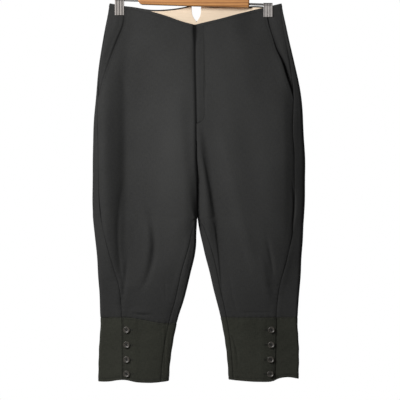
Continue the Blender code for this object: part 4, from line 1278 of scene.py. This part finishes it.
band = {
    "columns": {"front": 60, "back": 110}, "rows": 56,
    "lap": 0.026,            # how far in from the side seam the front band stands off
    "rise": 0.0017,          # by how much
    "riseFade": 0.018,       # over what width it comes back down
    "underlapShort": 0.003,  # how far short of the lap the underlap ends
    "quilt": 0.00030,        # how uneven the doubled cloth is
    "hemStitch": 0.0065,
    "placketStitch": 0.0042,
    "topStitch": 0.0028,
    "placketShadeReach": 0.0015,   # how far the painted shade of the placket's edge reaches, and how dark that is
    "shade": {"right": 1.0, "left": 0.5},
    "seamShadeReach": 0.0010,      # and the same for the inseam
    "seamShade": 0.5,
}


def bandRise(side, loop, level):
    # how far the front band stands off at the placket, where it laps over the back band
    x, _ = loopPoint(side, loop, level)
    seamX, _ = loopPoint(side, sideSeamAt(side, level), level)
    return band["rise"] * (1 - smooth((np.abs(x - seamX) - band["lap"]) / band["riseFade"]))


def bandRelief(side, face):
    # the sum of the edges, the seams, the placket in front, and a quilting of two crossed sines
    def relief(near, level):
        along = near["first"]
        free = near["last" if face < 0 else "first"]
        hemEdge = (dent("edge", near["bottom"]) + dent("hemRow", near["bottom"] - band["hemStitch"])
                   + ripple("hem", along, near["bottom"]))
        topEdge = gatheredRelief(near["top"], along)
        seam = seamRelief(near["first" if face < 0 else "last"], level * mm + 0.4)
        quilted = band["quilt"] * np.sin(level / 5.1 + along / 0.021) * np.sin(along / 0.0122 + 0.9 * face)
        placket = (dent("placket", free) + dent("placketRow", free - band["placketStitch"])
                   + ripple("placket", level, free - 0.004))
        return placket * (face < 0) + hemEdge + topEdge + seam + quilted

    return relief


def makeBands(side):
    # the front band laps over the back band, whose underlap carries the buttons
    def top(loop):
        return cuffSeamLevel(side, loop) + halfGap

    def low(loop):
        return hemLevel(side, loop)

    def underlap(level):
        inward = curveOf(sideSeam, side, level) * mm + band["lap"] - band["underlapShort"]
        return loopAt(side, inward, level, "outer")

    loops, levels = panelGrid(
        seamEdge(side, inseamAt, 1.0),
        lambda level: sideSeamAt(side, level),
        top, low, band["columns"]["front"], band["rows"])
    panel = panelOf(side, loops, levels, -bandRise(side, loops, levels), bandRelief(side, -1.0))
    # painted shade along the placket's edge and the inseam
    paintedShade = (paintedShadeAt(panel["near"], ["last"], band["placketShadeReach"]) * band["shade"][side]
            + paintedShadeAt(panel["near"], ["first"], band["seamShadeReach"]) * band["seamShade"])
    front = clothPiece("band_front_" + side, panel, garment["cloth"], "cuff", "cuff_front_" + side,
                       wearOf(panel["near"], ["bottom"]), paintedShade)

    loops, levels = panelGrid(
        underlap,
        seamEdge(side, inseamAt, -1.0, 2.0),
        top, low, band["columns"]["back"], band["rows"])
    behind = panelOf(side, loops, levels, 0.0, bandRelief(side, 1.0))
    paintedShade = paintedShadeAt(behind["near"], ["last"], band["seamShadeReach"]) * band["seamShade"]
    back = clothPiece("band_back_" + side, behind, garment["cloth"], "cuff", "cuff_back_" + side,
                      wearOf(behind["near"], ["bottom"]), paintedShade)
    return front, panel, back, behind


button = {
    "levels": (717.0, 749.5, 782.0, 813.5),
    "radius": 0.0074,
    "deep": 0.0026,
    "fromSeam": 0.0105,      # from the side seam to a button's middle
    "slack": 0.0009,         # between the cloth and a button's foot
    "turned": {"right": 0.3, "left": -0.5},   # the first one's turn, and what each next one adds, in radians
    "turn": 0.7,
    "holeOut": 0.0021,       # from the middle to a hole
    "hole": 0.0009,          # how wide and how deep a hole is
    "faceRow": 12,           # the profile's row where the sunk face starts
    "spokes": 48,
}
# half a section of a button, from the middle of its foot to the middle of its face, in radii and depths
buttonProfile = table("radius height", [
    (0.02, 0.0), (0.45, 0.0), (0.80, 0.0), (0.93, 0.10), (1.0, 0.38), (1.0, 0.62), (0.97, 0.86),
    (0.90, 0.98), (0.84, 1.0), (0.78, 0.97), (0.72, 0.86), (0.66, 0.70), (0.60, 0.60),
    (0.52, 0.56), (0.44, 0.55), (0.36, 0.55), (0.28, 0.55), (0.20, 0.55), (0.12, 0.56),
    (0.05, 0.56), (0.01, 0.56),
])


def buttonSeat(side, level):
    # the foot of a button on the front band, the way out, and the way across
    loop = loopAt(side, curveOf(sideSeam, side, level) * mm + button["fromSeam"], level, "outer")
    rise = bandRise(side, loop, level)
    foot = clothPoint(side, loop, level, -rise)
    out = clothPoint(side, loop, level, -rise - mm) - foot
    out = out / np.linalg.norm(out)
    return foot, out, np.array([out[1], -out[0], 0.0])


def makeButton(side, number, level, turned):
    # A dish on a polar grid: a flat foot, a rounded rim, and a sunk middle with four holes in it.
    foot, out, aside = buttonSeat(side, level)
    up = np.array([0.0, 0.0, 1.0])
    share, height = buttonProfile["radius"][:, None], buttonProfile["height"][:, None] * button["deep"]
    angle = np.arange(button["spokes"]) * 2 * np.pi / button["spokes"]
    flatX, flatZ = share * button["radius"] * np.cos(angle), share * button["radius"] * np.sin(angle)
    onFace = (np.arange(len(share)) >= button["faceRow"])[:, None]
    hole = np.zeros(flatX.shape)
    for k in range(4):
        a = turned + np.pi / 4 + k * np.pi / 2
        holeX, holeZ = button["holeOut"] * np.cos(a), button["holeOut"] * np.sin(a)
        hole += bell(np.hypot(flatX - holeX, flatZ - holeZ) / button["hole"]) * onFace
    seat = foot + out * button["slack"]
    height = height - hole * button["hole"]
    points = seat + flatX[..., None] * aside + flatZ[..., None] * up + height[..., None] * out
    i = np.arange(flatX.size).reshape(flatX.shape)
    j = np.roll(i, -1, axis=1)
    quads = np.stack([i[:-1], j[:-1], j[1:], i[1:]], -1).reshape(-1, 4)
    # painted shade in the holes and the sunk middle, and a painted highlight on the rim
    dark = np.clip(hole * 1.2 + bell(share / 0.45) * onFace * 0.7, 0, 1)
    rim = bell((share - 0.82) / 0.16) * onFace + 0 * angle
    piece = meshOf(f"horn_button_{side}_{number}", points.reshape(-1, 3), quads.tolist(), None,
                   {"hole": dark.ravel(), "rim": rim.ravel()})
    tidyShell(piece)
    finishPiece(piece, "button", "button", f"button_{side}_{number}")
    cross = []
    for k in range(2):
        a = turned + np.pi / 4 + k * np.pi / 2
        across = button["holeOut"] * (np.cos(a) * aside + np.sin(a) * up)
        lift = seat + out * (button["deep"] * 0.55 + 0.0002 * k)
        cross.append((np.array([lift - across, lift + across]), np.array([out, out])))
    stitchRows(f"button_thread_{side}_{number}", cross, "button",
               {"pitch": 0.0040, "length": 0.0040, "thread": 0.00036, "sink": 0.0})


def tidyShell(piece):
    # closes the poles and turns the faces out
    bm = bmesh.new()
    bm.from_mesh(piece.data)
    bmesh.ops.holes_fill(bm, edges=[e for e in bm.edges if e.is_boundary], sides=64)
    bmesh.ops.recalc_face_normals(bm, faces=bm.faces)
    bm.to_mesh(piece.data)
    bm.free()


buttonhole = {
    "halfLength": 0.0086,
    "halfHeight": 0.0011,
    "inward": 0.0060,        # from the button's middle to the buttonhole's
    "points": 61,
    "stitches": {"pitch": 0.00065, "length": 0.0008, "thread": 0.00034, "sink": 0.00012},
}


def makeButtonhole(side, number, level):
    # a stadium of close stitches round a slit that starts under the button and runs inward across the band
    foot, out, aside = buttonSeat(side, level)
    t = np.linspace(0, 2 * np.pi, buttonhole["points"])[:, None]
    along = np.clip(np.cos(t) * 1.6, -1, 1) * buttonhole["halfLength"] + buttonhole["inward"] * sign[side]
    tall = np.clip(np.sin(t) * 1.6, -1, 1) * buttonhole["halfHeight"]
    line = foot + along * aside + tall * np.array([0, 0, 1.0]) + out * 0.0001
    stitchRows(f"buttonhole_{side}_{number}", [(line, np.tile(out, (len(t), 1)))], "cuff",
               buttonhole["stitches"])


for side in sign:
    front, frontPanel, frontLevels = makeFront(side)
    back, backPanel = makeBack(side)
    hip = makePocket(side)
    lining = makeFacing(side)
    bandFront, bandFrontPanel, bandBack, bandBackPanel = makeBands(side)
    for number, level in enumerate(button["levels"], 1):
        makeButtonhole(side, number, level)
        makeButton(side, number, level, button["turned"][side] + button["turn"] * number)

    mouth = runAt(frontPanel, "last", trunk["mouthStitch"])
    onMouth = frontLevels[:, -1] < trunk["mouthEnd"]
    waistRun = runAt(frontPanel, "top", trunk["waistStitch"])
    stitchRows("stitch_front_" + side, [(mouth[0][onMouth], mouth[1][onMouth]), waistRun], "cloth")
    stitchRows("stitch_back_" + side, [runAt(backPanel, "top", trunk["waistStitch"])], "cloth")
    bandRuns = [
        runAt(bandFrontPanel, "bottom", band["hemStitch"]),
        runAt(bandBackPanel, "bottom", band["hemStitch"]),
        runAt(bandFrontPanel, "last", band["placketStitch"]),
        runAt(bandFrontPanel, "top", band["topStitch"]),
        runAt(bandBackPanel, "top", band["topStitch"]),
    ]
    stitchRows("stitch_band_" + side, bandRuns, "cuff")

    print("made the", side, "half")

flyPiece, flyPanel = makeFly()
stitchRows("stitch_fly", [runAt(flyPanel, "last", fly["stitchIn"])], "cloth")
print("made the fly")


# painted light: the left clip takes a paler copy of the clip finish, for the light that it catches
hangerFinishes = {
    "hanger_bar": "wood", "hanger_hook": "metal", "rod_right": "metal", "rod_left": "metal",
    "clip_right": "clip", "clip_left": "litClip",
}
for name, finish in hangerFinishes.items():
    for place in bpy.data.objects[name].material_slots:
        place.material = finishes[finish]
print("finished the hanger")


studio = {
    "floor": -1.24,          # z of the floor
    "floorRadius": 1.45,
    "floorGrid": 61,
    "key": {"place": (-0.92, -1.1, 0.1), "size": 0.55, "power": 32.0},
    "fill": {"place": (0.3, -3.2, 0.2), "size": 2.0, "power": 7.0},
    "back": {"place": (-0.9, 2.4, 0.6), "size": 1.6, "power": 100.0},
    "litPlace": (0.0, 0.0, -0.5),    # where the lights are aimed
    "surround": 0.055,               # the strength of the even light
    "camera": (0.0116, -3.0, -0.5613),
    "span": 0.88,                    # the width of the picture at the garment
}


def makeFloor():
    # a square grid drawn out to a disc
    count = studio["floorGrid"]
    u, v = np.meshgrid(np.linspace(-1, 1, count), np.linspace(-1, 1, count))
    x, y = u * np.sqrt(1 - v * v / 2), v * np.sqrt(1 - u * u / 2)
    points = np.stack([studio["floorRadius"] * x, studio["floorRadius"] * y, studio["floor"] + 0.0 * x], -1)
    piece = meshOf("floor", points.reshape(-1, 3), gridQuads(count, count).tolist())
    f = Finish("floor", {"Roughness": 0.9, "Specular IOR Level": 0.2})
    paper = f.noise(f.objectPlace(), 3.0, 2.0)
    f.to("Base Color", f.mix(paper, opaque((0.26, 0.26, 0.26)), opaque((0.31, 0.31, 0.31))))
    piece.data.materials.append(f.material)


def makeLight(name, settings):
    # a square light that the camera doesn't see, aimed at the lit place
    light = bpy.data.lights.new(name, "AREA")
    light.energy, light.size = settings["power"], settings["size"]
    lamp = bpy.data.objects.new(name, light)
    bpy.context.scene.collection.objects.link(lamp)
    lamp.location = settings["place"]
    lamp.visible_camera = False
    aim = Vector(studio["litPlace"]) - Vector(settings["place"])
    lamp.rotation_euler = aim.to_track_quat("-Z", "Y").to_euler()


def makeSurround():
    # white where the camera sees it, and a weak even light on everything else
    world = bpy.data.worlds.new("studio")
    world.use_nodes = True
    nodes, links = world.node_tree.nodes, world.node_tree.links
    weak = nodes["Background"]
    weak.inputs["Strength"].default_value = studio["surround"]
    white, path, mix = (nodes.new(kind) for kind in ("ShaderNodeBackground", "ShaderNodeLightPath",
                                                     "ShaderNodeMixShader"))
    for background in (weak, white):
        background.inputs["Color"].default_value = opaque((1.0, 1.0, 1.0))
    links.new(path.outputs["Is Camera Ray"], mix.inputs[0])
    links.new(weak.outputs[0], mix.inputs[1])
    links.new(white.outputs[0], mix.inputs[2])
    links.new(mix.outputs[0], nodes["World Output"].inputs["Surface"])
    bpy.context.scene.world = world


makeFloor()
for name in ("key", "fill", "back"):
    makeLight(name, studio[name])
makeSurround()
bpy.context.scene.view_settings.view_transform = "Standard"

camera = bpy.data.cameras.new("camera")
viewer = bpy.data.objects.new("camera", camera)
bpy.context.scene.collection.objects.link(viewer)
viewer.location = studio["camera"]
viewer.rotation_euler = (np.pi / 2, 0.0, 0.0)
camera.lens = camera.sensor_width * abs(studio["camera"][1]) / studio["span"]
bpy.context.scene.camera = viewer

print("floor, light and camera set")
